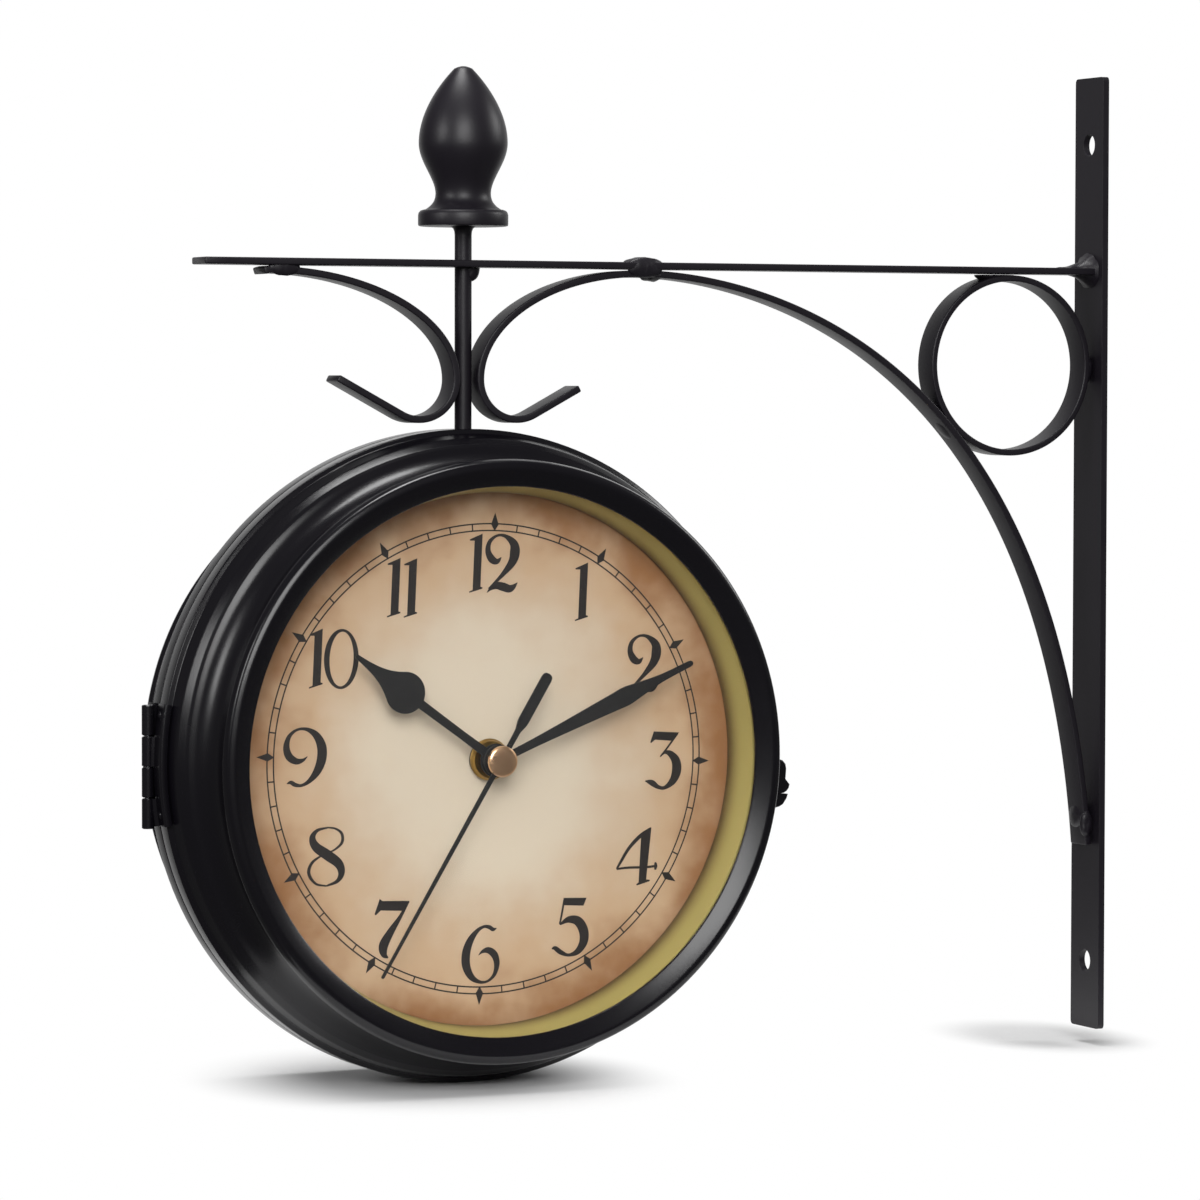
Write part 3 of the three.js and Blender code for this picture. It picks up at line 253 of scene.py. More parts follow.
@finish("printed dial card")
def dial_card(tree, place, settings):
    """Offset printed card with an aged look: pale middle, tan field, browned and blotched towards the rim."""
    flat = add_node(tree, "ShaderNodeVectorMath", {"operation": "MULTIPLY"}, {0: place, 1: (1.0, 0.0, 1.0)})
    out = add_node(tree, "ShaderNodeVectorMath", {"operation": "LENGTH"}, {0: flat.outputs["Vector"]})
    # blotches 30 mm and 9 mm across push the colours in and out
    radius = out.outputs["Value"]
    blotches = (
        drifting(tree, place, 33.0, 3.0, -0.011, 0.011, (0.25, 0.75), 0.55),
        drifting(tree, place, 110.0, 4.0, -0.003, 0.003),
    )
    for shift in blotches:
        pushed = add_node(tree, "ShaderNodeMath", {"operation": "ADD"}, {0: radius, 1: shift})
        radius = pushed.outputs["Value"]
    # the tan field sets in between 24 and 70 mm from the middle, the brown edge between 64 and 86 mm
    colour = opaque(settings.card_colour)
    for start, end, further in ((0.024, 0.07, settings.card_tan), (0.064, 0.086, settings.card_edge)):
        share = add_node(
            tree,
            "ShaderNodeMapRange",
            {"interpolation_type": "SMOOTHSTEP"},
            {"Value": radius, "From Min": start, "From Max": end},
        )
        blend = {0: share.outputs["Result"], 6: colour, 7: opaque(further)}
        colour = add_node(tree, "ShaderNodeMix", {"data_type": "RGBA"}, blend).outputs[2]
    # the back of the card is plain grey board
    parts = add_node(tree, "ShaderNodeSeparateXYZ", inputs={"Vector": place})
    card_middle = -(DIAL_FACE + DIAL_BACK) / 2 * MM
    back = add_node(
        tree, "ShaderNodeMath", {"operation": "GREATER_THAN"}, {0: parts.outputs["Y"], 1: card_middle}
    )
    pulp = add_node(tree, "ShaderNodeTexNoise", inputs={"Vector": place, "Scale": 110.0, "Detail": 4.0})
    greys = {0: pulp.outputs["Fac"], 6: opaque(linear("#8C877D")), 7: opaque(linear("#A19B90"))}
    board = add_node(tree, "ShaderNodeMix", {"data_type": "RGBA"}, greys)
    faces = {0: back.outputs["Value"], 6: colour, 7: board.outputs[2]}
    both = add_node(tree, "ShaderNodeMix", {"data_type": "RGBA"}, faces)
    look = {"Base Color": both.outputs[2], "Roughness": 0.7}
    return add_node(tree, "ShaderNodeBsdfPrincipled", inputs=look).outputs["BSDF"]


@finish("dial printing ink")
def dial_ink(tree, place, settings):
    """Black-brown printing ink, laid so thinly that its density drifts a little, over 15 mm."""
    ink = opaque(settings.ink_colour)
    drift = add_node(tree, "ShaderNodeTexNoise", inputs={"Vector": place, "Scale": 65.0, "Detail": 2.0})
    toward_darker = {"Color": ink, "Value": drift.outputs["Fac"], "Saturation": 1.0}
    lift = add_node(tree, "ShaderNodeHueSaturation", inputs=toward_darker)
    blend = add_node(tree, "ShaderNodeMix", {"data_type": "RGBA"}, {0: 0.3, 6: ink, 7: lift.outputs["Color"]})
    look = {"Base Color": blend.outputs[2], "Roughness": 0.6}
    return add_node(tree, "ShaderNodeBsdfPrincipled", inputs=look).outputs["BSDF"]


@finish("satin gold lacquered plastic")
def gold_plastic(tree, place, settings):
    """Moulded plastic with a satin gold lacquer: soft, with clouds 20 mm across in its sheen."""
    # painted shade: over the last 9 mm before the dial the ring is coloured towards dark brown, standing in
    # for the shadow in its undercut
    parts = add_node(tree, "ShaderNodeSeparateXYZ", inputs={"Vector": place})
    dial, unshaded = -DIAL_FACE * MM, -(DIAL_FACE + 9.2) * MM
    toward_darker = add_node(
        tree,
        "ShaderNodeMapRange",
        {"interpolation_type": "SMOOTHSTEP"},
        {"Value": parts.outputs["Y"], "From Min": unshaded, "From Max": dial},
    )
    # the dark brown is painted shade, not a colour of the lacquer
    blend = {0: toward_darker.outputs["Result"], 6: opaque(settings.gold_colour), 7: opaque(linear("#5A4A2C"))}
    colour = add_node(tree, "ShaderNodeMix", {"data_type": "RGBA"}, blend)
    look = {
        "Base Color": colour.outputs[2],
        "Metallic": 0.2,
        "Roughness": drifting(tree, place, 50.0, 2.0, 0.42, 0.52),
    }
    return add_node(tree, "ShaderNodeBsdfPrincipled", inputs=look).outputs["BSDF"]


@finish("float glass")
def float_glass(tree, place, settings):
    """2 mm float glass: clear, with wiping marks 60 mm long. Light passes straight to the dial."""
    look = {
        "Base Color": (1.0, 1.0, 1.0, 1.0),
        "Transmission Weight": 1.0,
        "Roughness": drifting(tree, place, 17.0, 2.0, 0.0, 0.03, (0.4, 0.7)),
        "IOR": 1.5,
    }
    glass = add_node(tree, "ShaderNodeBsdfPrincipled", inputs=look)
    clear = add_node(tree, "ShaderNodeBsdfTransparent")
    path = add_node(tree, "ShaderNodeLightPath")
    either = {0: path.outputs["Is Shadow Ray"], 1: glass.outputs["BSDF"], 2: clear.outputs["BSDF"]}
    return add_node(tree, "ShaderNodeMixShader", inputs=either).outputs["Shader"]


@finish("moulded black plastic")
def moulded_plastic(tree, place, settings):
    """Black ABS from a spark eroded mould: an even grain 0.5 mm across kills the gloss."""
    look = {
        "Base Color": opaque(settings.case_plastic),
        "Roughness": 0.48,
        "Normal": fine_grain(tree, place, 2000.0, 1.0, 0.3, 0.00004),
    }
    return add_node(tree, "ShaderNodeBsdfPrincipled", inputs=look).outputs["BSDF"]


def bare_metal(tree, place, colour, low, high, patches):
    """A bright metal surface whose gloss drifts with handling, with so many patches to the metre."""
    look = {
        "Base Color": opaque(colour),
        "Metallic": 1.0,
        "Roughness": drifting(tree, place, patches, 3.0, low, high),
    }
    return add_node(tree, "ShaderNodeBsdfPrincipled", inputs=look).outputs["BSDF"]


@finish("turned brass")
def turned_brass(tree, place, settings):
    """Turned brass, slightly dulled by air in patches of 5 mm: fittings of the movement's stem."""
    return bare_metal(tree, place, settings.brass_colour, 0.28, 0.42, 200.0)


@finish("copper plated steel")
def copper_plate(tree, place, settings):
    """Polished copper plate on pressed steel, in patches of 4 mm, as on the cap of the second hand."""
    return bare_metal(tree, place, settings.cap_colour, 0.24, 0.36, 250.0)


@finish("zinc plated steel")
def zinc_plate(tree, place, settings):
    """Bright zinc plate on steel pins, wire and nuts, in patches of 3 mm."""
    return bare_metal(tree, place, settings.zinc_colour, 0.3, 0.45, 330.0)


@finish("nitrile rubber")
def nitrile_rubber(tree, place, settings):
    """Black nitrile rubber: matt, with a dusty bloom in patches of 3 mm."""
    bloom = add_node(tree, "ShaderNodeTexNoise", inputs={"Vector": place, "Scale": 330.0, "Detail": 3.0})
    blacks = {0: bloom.outputs["Fac"], 6: opaque(linear("#1E1E1E")), 7: opaque(linear("#2C2C2B"))}
    colour = add_node(tree, "ShaderNodeMix", {"data_type": "RGBA"}, blacks)
    look = {"Base Color": colour.outputs[2], "Roughness": 0.85}
    return add_node(tree, "ShaderNodeBsdfPrincipled", inputs=look).outputs["BSDF"]


@finish("battery shrink sleeve")
def battery_sleeve(tree, place, settings):
    """Shrink sleeve on a dry cell: a glossy plain film, dark with a copper coloured band at its plus end."""
    parts = add_node(tree, "ShaderNodeSeparateXYZ", inputs={"Vector": place})
    # the band starts 13.5 mm from the middle of the cell
    band = add_node(tree, "ShaderNodeMath", {"operation": "GREATER_THAN"}, {0: parts.outputs["X"], 1: 0.0135})
    films = {0: band.outputs["Value"], 6: opaque(settings.jacket_colour), 7: opaque(linear("#B07A45"))}
    colour = add_node(tree, "ShaderNodeMix", {"data_type": "RGBA"}, films)
    look = {"Base Color": colour.outputs[2], "Roughness": 0.28, "Coat Weight": 0.3}
    return add_node(tree, "ShaderNodeBsdfPrincipled", inputs=look).outputs["BSDF"]


# ---------------------------------------------------------------- meshes


def joined(*solids):
    """Several (points, faces) as one."""
    points, faces = [], []
    for some_points, some_faces in solids:
        start = len(points)
        points.extend(some_points)
        faces.extend(tuple(i + start for i in face) for face in some_faces)
    return points, faces


def placed(solid, matrix):
    """A solid moved by a matrix."""
    points, faces = solid
    return [tuple(matrix @ Vector(p)) for p in points], faces


def faces_between(rows, count, closed=True, whole=False):
    """Quads over rows of so many points: closed round each row, whole from the last row to the first."""
    faces = []
    for i in range(rows if whole else rows - 1):
        here, there = i * count, (i + 1) % rows * count
        for k in range(count if closed else count - 1):
            n = (k + 1) % count
            faces.append((here + k, here + n, there + n, there + k))
    return faces


def end_faces(rows, count):
    """The two faces that close the first and the last row."""
    return [tuple(range(count)), tuple(range((rows - 1) * count, rows * count))]


def rounded(points, radii, steps=5):
    """A closed line whose corners are rounded, each by its own radius."""
    line = []
    count = len(points)
    for i, (point, radius) in enumerate(zip(points, radii)):
        if radius <= 0:
            line.append(tuple(point))
            continue
        corner = Vector(point)
        before = Vector(points[i - 1]) - corner
        after = Vector(points[(i + 1) % count]) - corner
        half = before.angle(after) / 2
        reach = min(radius / max(math.tan(half), 1e-3), before.length * 0.48, after.length * 0.48)
        start = corner + before.normalized() * reach
        end = corner + after.normalized() * reach
        for k in range(steps + 1):
            t = k / steps
            line.append(tuple(start * (1 - t) ** 2 + corner * 2 * t * (1 - t) + end * t**2))
    return line


def bezier(a, b, c, d, steps):
    """A curve from a to d that leaves towards b and arrives from c."""
    a, b, c, d = (Vector(p) for p in (a, b, c, d))
    line = []
    for i in range(steps + 1):
        t = i / steps
        s = 1 - t
        line.append(tuple(a * s**3 + b * 3 * s * s * t + c * 3 * s * t * t + d * t**3))
    return line


def arc(centre, radius, start, end, steps):
    """Part of a circle, with both its ends."""
    angles = [start + (end - start) * i / steps for i in range(steps + 1)]
    return [(centre[0] + radius * math.cos(a), centre[1] + radius * math.sin(a)) for a in angles]


def through(points, steps):
    """A smooth line through points of any size, as a Catmull-Rom spline."""
    points = [Vector(p) for p in points]
    line = []
    for i in range(len(points) - 1):
        p1, p2 = points[i], points[i + 1]
        p0 = points[i - 1] if i else p1 * 2 - p2
        p3 = points[i + 2] if i + 2 < len(points) else p2 * 2 - p1
        for k in range(steps):
            t = k / steps
            linear_part = p1 * 2 + (p2 - p0) * t
            square, cube = p0 * 2 - p1 * 5 + p2 * 4 - p3, p1 * 3 - p0 - p2 * 3 + p3
            line.append(tuple(0.5 * (linear_part + square * t * t + cube * t**3)))
    line.append(tuple(points[-1]))
    return line


def turned(profile, steps=160, closed=False, start=0.0, sweep=2 * math.pi):
    """A profile of (radius, depth) turned about the Y axis; depth counts towards -Y."""
    whole = sweep > 2 * math.pi - 1e-6
    rings = steps if whole else steps + 1
    count = len(profile)
    points = []
    for i in range(rings):
        angle = start + sweep * i / steps
        points.extend((r * math.cos(angle), -d, r * math.sin(angle)) for r, d in profile)
    faces = faces_between(rings, count, closed, whole)
    if closed and not whole:
        faces += end_faces(rings, count)
    return points, faces


def upright(profile, steps=48, closed=False):
    """A profile of (radius, height) turned about the Z axis."""
    points, faces = turned([(r, -z) for r, z in profile], steps, closed)
    return [(x, z, y) for x, y, z in points], faces


def swept_bar(line, width, thick, edge):
    """A flat bar with rolled edges along a line of (x, z), its width along Y."""
    centres = [Vector(p) for p in line]
    normals = []
    for i in range(len(centres)):
        before, after = centres[max(i - 1, 0)], centres[min(i + 1, len(centres) - 1)]
        along = (after - before).normalized()
        normals.append(Vector((-along.y, along.x)))
    half_w, half_t = width / 2, thick / 2

    def section(inset):
        w, t = half_w - inset, half_t - inset
        corners = [(t, -w), (t, w), (-t, w), (-t, -w)]
        return rounded(corners, [max(edge - inset, edge * 0.25)] * 4, steps=4)

    first = (centres[1] - centres[0]).normalized()
    last = (centres[-1] - centres[-2]).normalized()
    # each end is rounded off: shares of the edge radius along the bar, and into its section
    ends = ((0.0, 0.7), (0.3, 0.22), (1.0, 0.0))
    stations = [(centres[0] + first * edge * along, normals[0], edge * inset) for along, inset in ends]
    stations += [(p, n, 0.0) for p, n in zip(centres[1:-1], normals[1:-1])]
    for along, inset in reversed(ends):
        stations.append((centres[-1] - last * edge * along, normals[-1], edge * inset))
    points = []
    for centre, normal, inset in stations:
        ring = section(inset)
        points.extend((centre.x + normal.x * n, y, centre.y + normal.y * n) for n, y in ring)
    rows, count = len(stations), len(section(0.0))
    return points, faces_between(rows, count) + end_faces(rows, count)


def weld_bead(centre, radii, lump, turn=0.0, low=(-NO_LIMIT,) * 3, high=(NO_LIMIT,) * 3):
    """A lump of weld metal, rippled along its length, kept between low and high."""
    rings, steps = 20, 36
    points = []
    spin = Matrix.Rotation(turn, 3, "Y")
    for i in range(rings + 1):
        polar = math.pi * i / rings
        for k in range(steps):
            angle = 2 * math.pi * k / steps
            out = math.sin(polar)
            unit = Vector((out * math.cos(angle), math.cos(polar), out * math.sin(angle)))
            place = Vector(unit[a] * radii[a] for a in range(3))
            grow = lump * 1.4 * noise.noise(place * 0.35 + Vector(centre))
            ripple = lump * 0.35 * math.sin(place.x * 2.4 + 1.5 * noise.noise(place * 0.5))
            place += unit * (grow + ripple - lump * 0.4)
            place = spin @ place + Vector(centre)
            points.append(tuple(min(max(place[a], low[a]), high[a]) for a in range(3)))
    return points, faces_between(rings + 1, steps)


def weld_fillet(centre, length, wide, high, lump):
    """Weld metal that flares from a bar towards the wall side, which is at +X."""
    stations, steps, half_bar = 14, 40, 5.2
    points = []
    for i in range(stations + 1):
        t = i / stations
        flare = 0.2 + 0.55 * t**1.8 + 0.25 * t**7
        for k in range(steps):
            angle = 2 * math.pi * k / steps
            out = Vector((0.0, wide * math.cos(angle), high * math.sin(angle))) * flare
            # it starts as wide as the bar
            least = abs(math.cos(angle)) * half_bar * (1 - t)
            out.y = math.copysign(max(abs(out.y), least), math.cos(angle))
            place = Vector((-length * (1 - t), 0, 0)) + out
            place += out * (lump * 0.22 * noise.noise(place * 0.42 + Vector(centre)))
            points.append(tuple(place + Vector(centre)))
    return points, faces_between(stations + 1, steps) + end_faces(stations + 1, steps)


def flat_plate(outline, holes, back, front):
    """An outline of (x, z) with holes, given a thickness; depth counts towards -Y."""
    mesh = bmesh.new()
    edges = []
    for loop in (outline, *holes):
        corners = [mesh.verts.new((x, -front, z)) for x, z in loop]
        edges += [mesh.edges.new((corners[i - 1], corners[i])) for i in range(len(corners))]
    bmesh.ops.triangle_fill(mesh, use_beauty=True, use_dissolve=False, edges=edges, normal=(0, -1, 0))
    grown = bmesh.ops.extrude_face_region(mesh, geom=mesh.faces[:])
    moved = [item for item in grown["geom"] if isinstance(item, bmesh.types.BMVert)]
    bmesh.ops.translate(mesh, verts=moved, vec=(0, front - back, 0))
    mesh.verts.index_update()
    solid = [tuple(v.co) for v in mesh.verts], [tuple(v.index for v in f.verts) for f in mesh.faces]
    mesh.free()
    return solid


def block(x0, x1, d0, d1, z0, z1):
    """A block between two x, two depths and two heights."""
    return flat_plate([(x0, z0), (x1, z0), (x1, z1), (x0, z1)], [], d0, d1)


def new_piece(name, solid, material, matrix=None, merge=True):
    """An object from (points, faces) in millimetres, with shared corners merged and faces turned out."""
    points, faces = solid
    mesh = bmesh.new()
    corners = [mesh.verts.new(tuple(c * MM for c in p)) for p in points]
    for face in faces:
        try:
            mesh.faces.new([corners[i] for i in face])
        except ValueError:
            continue
    if merge:
        bmesh.ops.remove_doubles(mesh, verts=mesh.verts, dist=MERGE)
        bmesh.ops.dissolve_degenerate(mesh, edges=mesh.edges, dist=1e-7)
        loose = [v for v in mesh.verts if not v.link_faces]
        bmesh.ops.delete(mesh, geom=loose, context="VERTS")
        bmesh.ops.recalc_face_normals(mesh, faces=mesh.faces)
    data = bpy.data.meshes.new(name)
    mesh.to_mesh(data)
    mesh.free()
    piece = bpy.data.objects.new(name, data)
    bpy.context.scene.collection.objects.link(piece)
    data.materials.append(material)
    piece.matrix_world = matrix or Matrix.Identity(4)
    shade(data)
    return piece


def shade(data):
    """Shades a mesh smooth, but for its sharp edges."""
    data.shade_smooth()
    data.set_sharp_from_angle(angle=math.radians(SHARP))


def bevelled(piece, width, segments=3, weld=False):
    """Rounds the hard edges of a piece by a width in millimetres."""
    if weld:
        merge = piece.modifiers.new("Shared corners", "WELD")
        merge.merge_threshold = MERGE
    bevel = piece.modifiers.new("Edge rounding", "BEVEL")
    bevel.width = width * MM
    bevel.segments = segments
    bevel.limit_method = "ANGLE"
    bevel.angle_limit = math.radians(35)
    normals = piece.modifiers.new("Even shading", "WEIGHTED_NORMAL")
    normals.keep_sharp = True


def cut_by(piece, solid, matrix):
    """Takes a solid away from a piece for good."""
    tool = new_piece(piece.name + "_tool", solid, piece.data.materials[0], matrix)
    modifier = piece.modifiers.new("Cut", "BOOLEAN")
    modifier.operation = "DIFFERENCE"
    modifier.solver = "EXACT"
    modifier.object = tool
    bpy.context.view_layer.update()
    graph = bpy.context.evaluated_depsgraph_get()
    data = bpy.data.meshes.new_from_object(piece.evaluated_get(graph))
    piece.modifiers.remove(modifier)
    old, piece.data = piece.data, data
    bpy.data.meshes.remove(old)
    used = tool.data
    bpy.data.objects.remove(tool)
    bpy.data.meshes.remove(used)
    shade(data)


def dress(node, material, width=0.0):
    """Gives a carried over CAD node its finish, and rounds its edges."""
    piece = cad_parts[node]
    piece.data.materials.clear()
    piece.data.materials.append(material)
    shade(piece.data)
    if width > 0:
        bevelled(piece, width, weld=True)


def stands_for(piece, body, slot, *nodes):
    """The piece rides on a body and hides the nodes that it replaces; slot is not used."""
    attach(piece, body)
    if nodes:
        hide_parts(*nodes)


def fit(name, solid, material, body, slot, *nodes, matrix=None, edge=0.0, segments=3):
    """Makes a piece, rounds its edges and sets it on its body in the place of its CAD nodes."""
    piece = new_piece(name, solid, material, matrix)
    if edge > 0:
        bevelled(piece, edge, segments)
    stands_for(piece, body, slot, *nodes)


def case_matrix(side):
    turn = Matrix.Rotation(math.pi if side == "rear" else 0.0, 4, "Z")
    return Matrix.Translation((ROD_X * MM, 0, CASE_Z * MM)) @ turn


# ---------------------------------------------------------------- bracket


def arch_line(steps):
    """From the apex under the arm down to the foot, which leans on the wall plate."""
    foot = (-3.8, ARCH_FOOT_Z)
    lean, handle = 0.08, 180.0
    over = (foot[0] - handle * math.sin(lean), foot[1] + handle * math.cos(lean))
    return bezier((ARCH_APEX_X, STRIP_LINE_Z), (ARCH_APEX_X + 20, STRIP_LINE_Z), over, foot, steps)


def scroll_line(side, reach, tail):
    """From under the arm down past the rod and round the hook; side is 1 towards the wall."""
    throat, height, hook, lean, quarter = 4.05, 56.8, 12.4, 0.49, 0.552
    drop = STRIP_LINE_Z - height
    line = bezier(
        (reach, STRIP_LINE_Z),
        (reach - (reach - throat) * quarter, STRIP_LINE_Z),
        (throat, height + drop * quarter),
        (throat, height),
        40,
    )
    line += arc((throat + hook, height), hook, math.pi, 1.5 * math.pi + lean, 32)[1:]
    x, z = line[-1]
    line += [(x + tail * t * math.cos(lean), z + tail * t * math.sin(lean)) for t in (0.34, 0.67, 1.0)]
    return [(ROD_X + side * px, pz) for px, pz in line]


class CLOCK_OT_wall_bracket(bpy.types.Operator):
    """Build the wall plate, arm, arch, scrolls and ring of rolled flat bar, with their weld beads"""

    bl_idname = "clock.wall_bracket"
    bl_label = "Wall bracket"

    def execute(self, context):
        settings = context.scene.station_clock
        coat = powder_coat(settings)
        edge, lump = settings.edge_round / MM, settings.weld_lump / MM
        fixed = coat, "bracket", "satin_black"

        across, along = PLATE_WIDTH / 2, PLATE_HEIGHT / 2
        corners = [(across, along), (-across, along), (-across, -along), (across, -along)]
        nearly_round = 2 * math.pi * 35 / 36
        holes = [arc((0, z), SCREW_HOLE_RADIUS, 0, nearly_round, 35) for z in (SCREW_HOLE_Z, -SCREW_HOLE_Z)]
        plate = flat_plate(rounded(corners, [1.6] * 4, steps=6), holes, 0, PLATE_THICK)
        turn = Matrix.Rotation(math.radians(-90), 4, "Z")
        fit("wall_plate_bar", plate, *fixed, "wall_plate", matrix=turn, edge=0.45)

        free_end, wall_end = -312.6, -2.35
        middle = (ARM_TOP + ARM_BOTTOM) / 2
        line = [(free_end + (wall_end - free_end) * i / 40, middle) for i in range(41)]
        above_strips = (-NO_LIMIT, -NO_LIMIT, ARM_BOTTOM + 0.1)
        arm = joined(
            swept_bar(line, ARM_WIDTH, ARM_TOP - ARM_BOTTOM, edge),
            weld_fillet((wall_end, 0, ARM_TOP - 0.8), 10.5, 7.2, 5.8, lump * 2.5),
            weld_bead((ARCH_APEX_X + 2, 0, ARM_TOP - 0.6), (6.5, 6.3, 2.4), lump, low=above_strips),
            weld_bead((ARCH_APEX_X + 0.6, -4.9, ARM_TOP - 1.7), (6.2, 1.5, 3.3), lump * 0.6),
            weld_bead((LEFT_WELD_X, -4.4, ARM_BOTTOM - 0.7), (5.2, 1.3, 2.7), lump * 0.5),
        )
        fit("arm_flat_bar", arm, *fixed, "arm_bar")

        line = scroll_line(1, ARCH_APEX_X - ROD_X, 17.5)[::-1] + arch_line(110)[1:]
        below_arm = (NO_LIMIT, NO_LIMIT, STRIP_TOP_Z)
        off_plate = (-PLATE_THICK - 0.3, NO_LIMIT, NO_LIMIT)
        brace = joined(
            swept_bar(line, STRIP_WIDTH, STRIP_THICK, edge),
            weld_bead((ARCH_APEX_X + 5, 0, STRIP_TOP_Z - 1.6), (3.4, 5.3, 1.9), lump, high=below_arm),
            weld_bead((-4.2, 0.5, ARCH_FOOT_Z + 9.5), (2.6, 5.2, 4.6), lump, high=off_plate),
            weld_bead((-4.6, -4.6, ARCH_FOOT_Z + 7), (2.4, 1.6, 4.4), lump, high=off_plate),
        )
        fit("arch_and_scroll_bar", brace, *fixed, "arch_brace")

        # the left scroll's end runs into its weld
        line = scroll_line(-1, 66, 24)
        start = line[0][0]
        line = [(start - 1.6, STRIP_LINE_Z - 0.5), (start - 0.8, STRIP_LINE_Z - 0.25)] + line
        fit("left_scroll_bar", swept_bar(line, STRIP_WIDTH, STRIP_THICK, edge), *fixed, "left_scroll")

        bore, outer, half = RING_RADIUS - 2, RING_RADIUS, STRIP_WIDTH / 2
        section = rounded([(bore, -half), (outer, -half), (outer, half), (bore, half)], [edge] * 4, steps=4)
        cx, cz = RING_CENTRE
        to_arch = 1.24 * math.pi
        weld_x, weld_z = cx + outer * math.cos(to_arch), cz + outer * math.sin(to_arch)
        above_ring, beside_ring = (-NO_LIMIT, -NO_LIMIT, 89.4), (-6.2, -NO_LIMIT, 0)
        top, side, arch = (cx - 4, 0, cz + outer), (cx + outer, 0, cz - 1), (weld_x - 0.6, 0, weld_z - 0.8)
        ring = joined(
            placed(turned(section, 128, closed=True), Matrix.Translation((cx, 0, cz))),
            weld_bead(top, (7, 4.6, 2.2), lump * 0.7, high=below_arm, low=above_ring),
            weld_bead(side, (3, 4.6, 5), lump * 0.7, high=off_plate, low=beside_ring),
            weld_bead(arch, (1.2, 4.4, 5.5), lump * 0.5, turn=math.pi - to_arch),
        )
        fit("brace_ring_hoop", ring, *fixed, "brace_ring")
        return {"FINISHED"}


def finial_profile():
    """Foot disc, neck and egg shaped belly of the finial, from its base up."""
    foot, neck, belly = 14.0, 8.6, 13.8

    def up(share):
        return FINIAL_HEIGHT * share

    line = [(0, 0.2), (3.2, 0.2), (3.2, 0), (foot - 0.6, 0), (foot - 0.15, 0.15), (foot, 0.6)]
    line += [(foot, up(0.07)), (foot - 0.2, up(0.085)), (foot - 0.7, up(0.097)), (foot - 1.6, up(0.103))]
    line += bezier((foot - 2.2, up(0.105)), (neck + 0.6, up(0.135)), (neck, up(0.17)), (neck, up(0.205)), 14)
    line += bezier((neck, up(0.205)), (neck, up(0.3)), (belly, up(0.4)), (belly, up(0.52)), 20)[1:]
    shoulder, crown = (belly, up(0.72)), (belly * 0.5, up(0.9))
    line += bezier((belly, up(0.52)), shoulder, crown, (belly * 0.2, up(0.985)), 26)[1:]
    return line + [(1.7, up(0.994)), (0.8, up(0.999)), (0, up(1))]


class CLOCK_OT_hanger(bpy.types.Operator):
    """Build the round hanger rod with its weld, the turned finial on top and the nut inside the case"""

    bl_idname = "clock.hanger"
    bl_label = "Hanger and finial"

    def execute(self, context):
        settings = context.scene.station_clock
        fixed = powder_coat(settings), "bracket", "satin_black"
        lump = settings.weld_lump / MM
        low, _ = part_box("hanger_rod")
        foot = low.z / MM
        profile = [(0, foot), (2.0, foot), (2.45, foot + 0.2), (ROD_RADIUS, foot + 0.7)]
        profile += [(ROD_RADIUS, z) for z in (40, 91, 92, 101.5)]
        # the rod flares a little where it meets the finial
        profile += [(2.75, 102.6), (3.1, 103.5), (3.9, 104.1), (0, 104.15)]
        under_arm = (NO_LIMIT, NO_LIMIT, ARM_BOTTOM - 0.1)
        rod = joined(
            placed(upright(profile), Matrix.Translation((ROD_X, 0, 0))),
            weld_bead((ROD_X + 2.1, 0, 90.8), (3.4, 2.9, 4.0), lump, turn=0.5, high=under_arm),
        )
        fit("hanger_round_rod", rod, *fixed, "hanger_rod")
        top = placed(upright(finial_profile(), 96), Matrix.Translation((ROD_X, 0, FINIAL_BASE_Z)))
        fit("turned_finial", top, *fixed, "finial")
        dress("rod_nut", zinc_plate(settings), 0.4)
        return {"FINISHED"}


# ---------------------------------------------------------------- case


def shell_profile():
    """Round the whole section of a half case: outside from the seam to the opening, then back inside."""
    # each corner is ((radius, depth), rounding)
    rim = [
        ((RIM_RADIUS, SEAM), 0.35),
        ((RIM_RADIUS, 6.0), 0.7),
        ((100.0, 6.9), 0.9),
        ((98.7, 11.5), 3.0),
        ((96.9, 13.9), 1.2),
    ]
    cove_corners = [(96.0, 14.6), (93.7, 15.9), (91.6, 18.1), (90.0, 21.3), (NECK_RADIUS, 25.0)]
    cove = [(place, 0.0) for place in through(cove_corners + [(NECK_RADIUS, 31.0)], 7)]
    cove[0], cove[-1] = (cove[0][0], 0.6), (cove[-1][0], 0.6)
    bezel = [
        ((91.9, 32.6), 1.2),
        ((92.7, 34.6), 1.6),
        ((91.9, 37.2), 1.8),
        ((89.6, 38.0), 2.2),
        ((OPENING_RADIUS, OPENING_DEPTH), 0.5),
        ((OPENING_RADIUS, OPENING_DEPTH - 1.15), 0.3),
        ((89.0, 36.6), 1.2),
        ((91.2, 35.6), 1.0),
        ((90.7, 33.4), 0.8),
        ((88.3, 32.0), 0.6),
    ]
    inside = [
        ((88.2, 25.0), 8.0),
        ((89.6, 18.2), 5.0),
        ((92.6, 15.3), 2.0),
        ((95.1, 13.7), 1.2),
        ((97.5, 10.9), 3.0),
        ((98.9, 6.1), 0.8),
        ((RIM_RADIUS - SHEET, 5.3), 0.4),
        ((RIM_RADIUS - SHEET, SEAM), 0.3),
    ]
    corners = rim + cove + bezel + inside
    return rounded([place for place, _ in corners], [radius for _, radius in corners], steps=4)


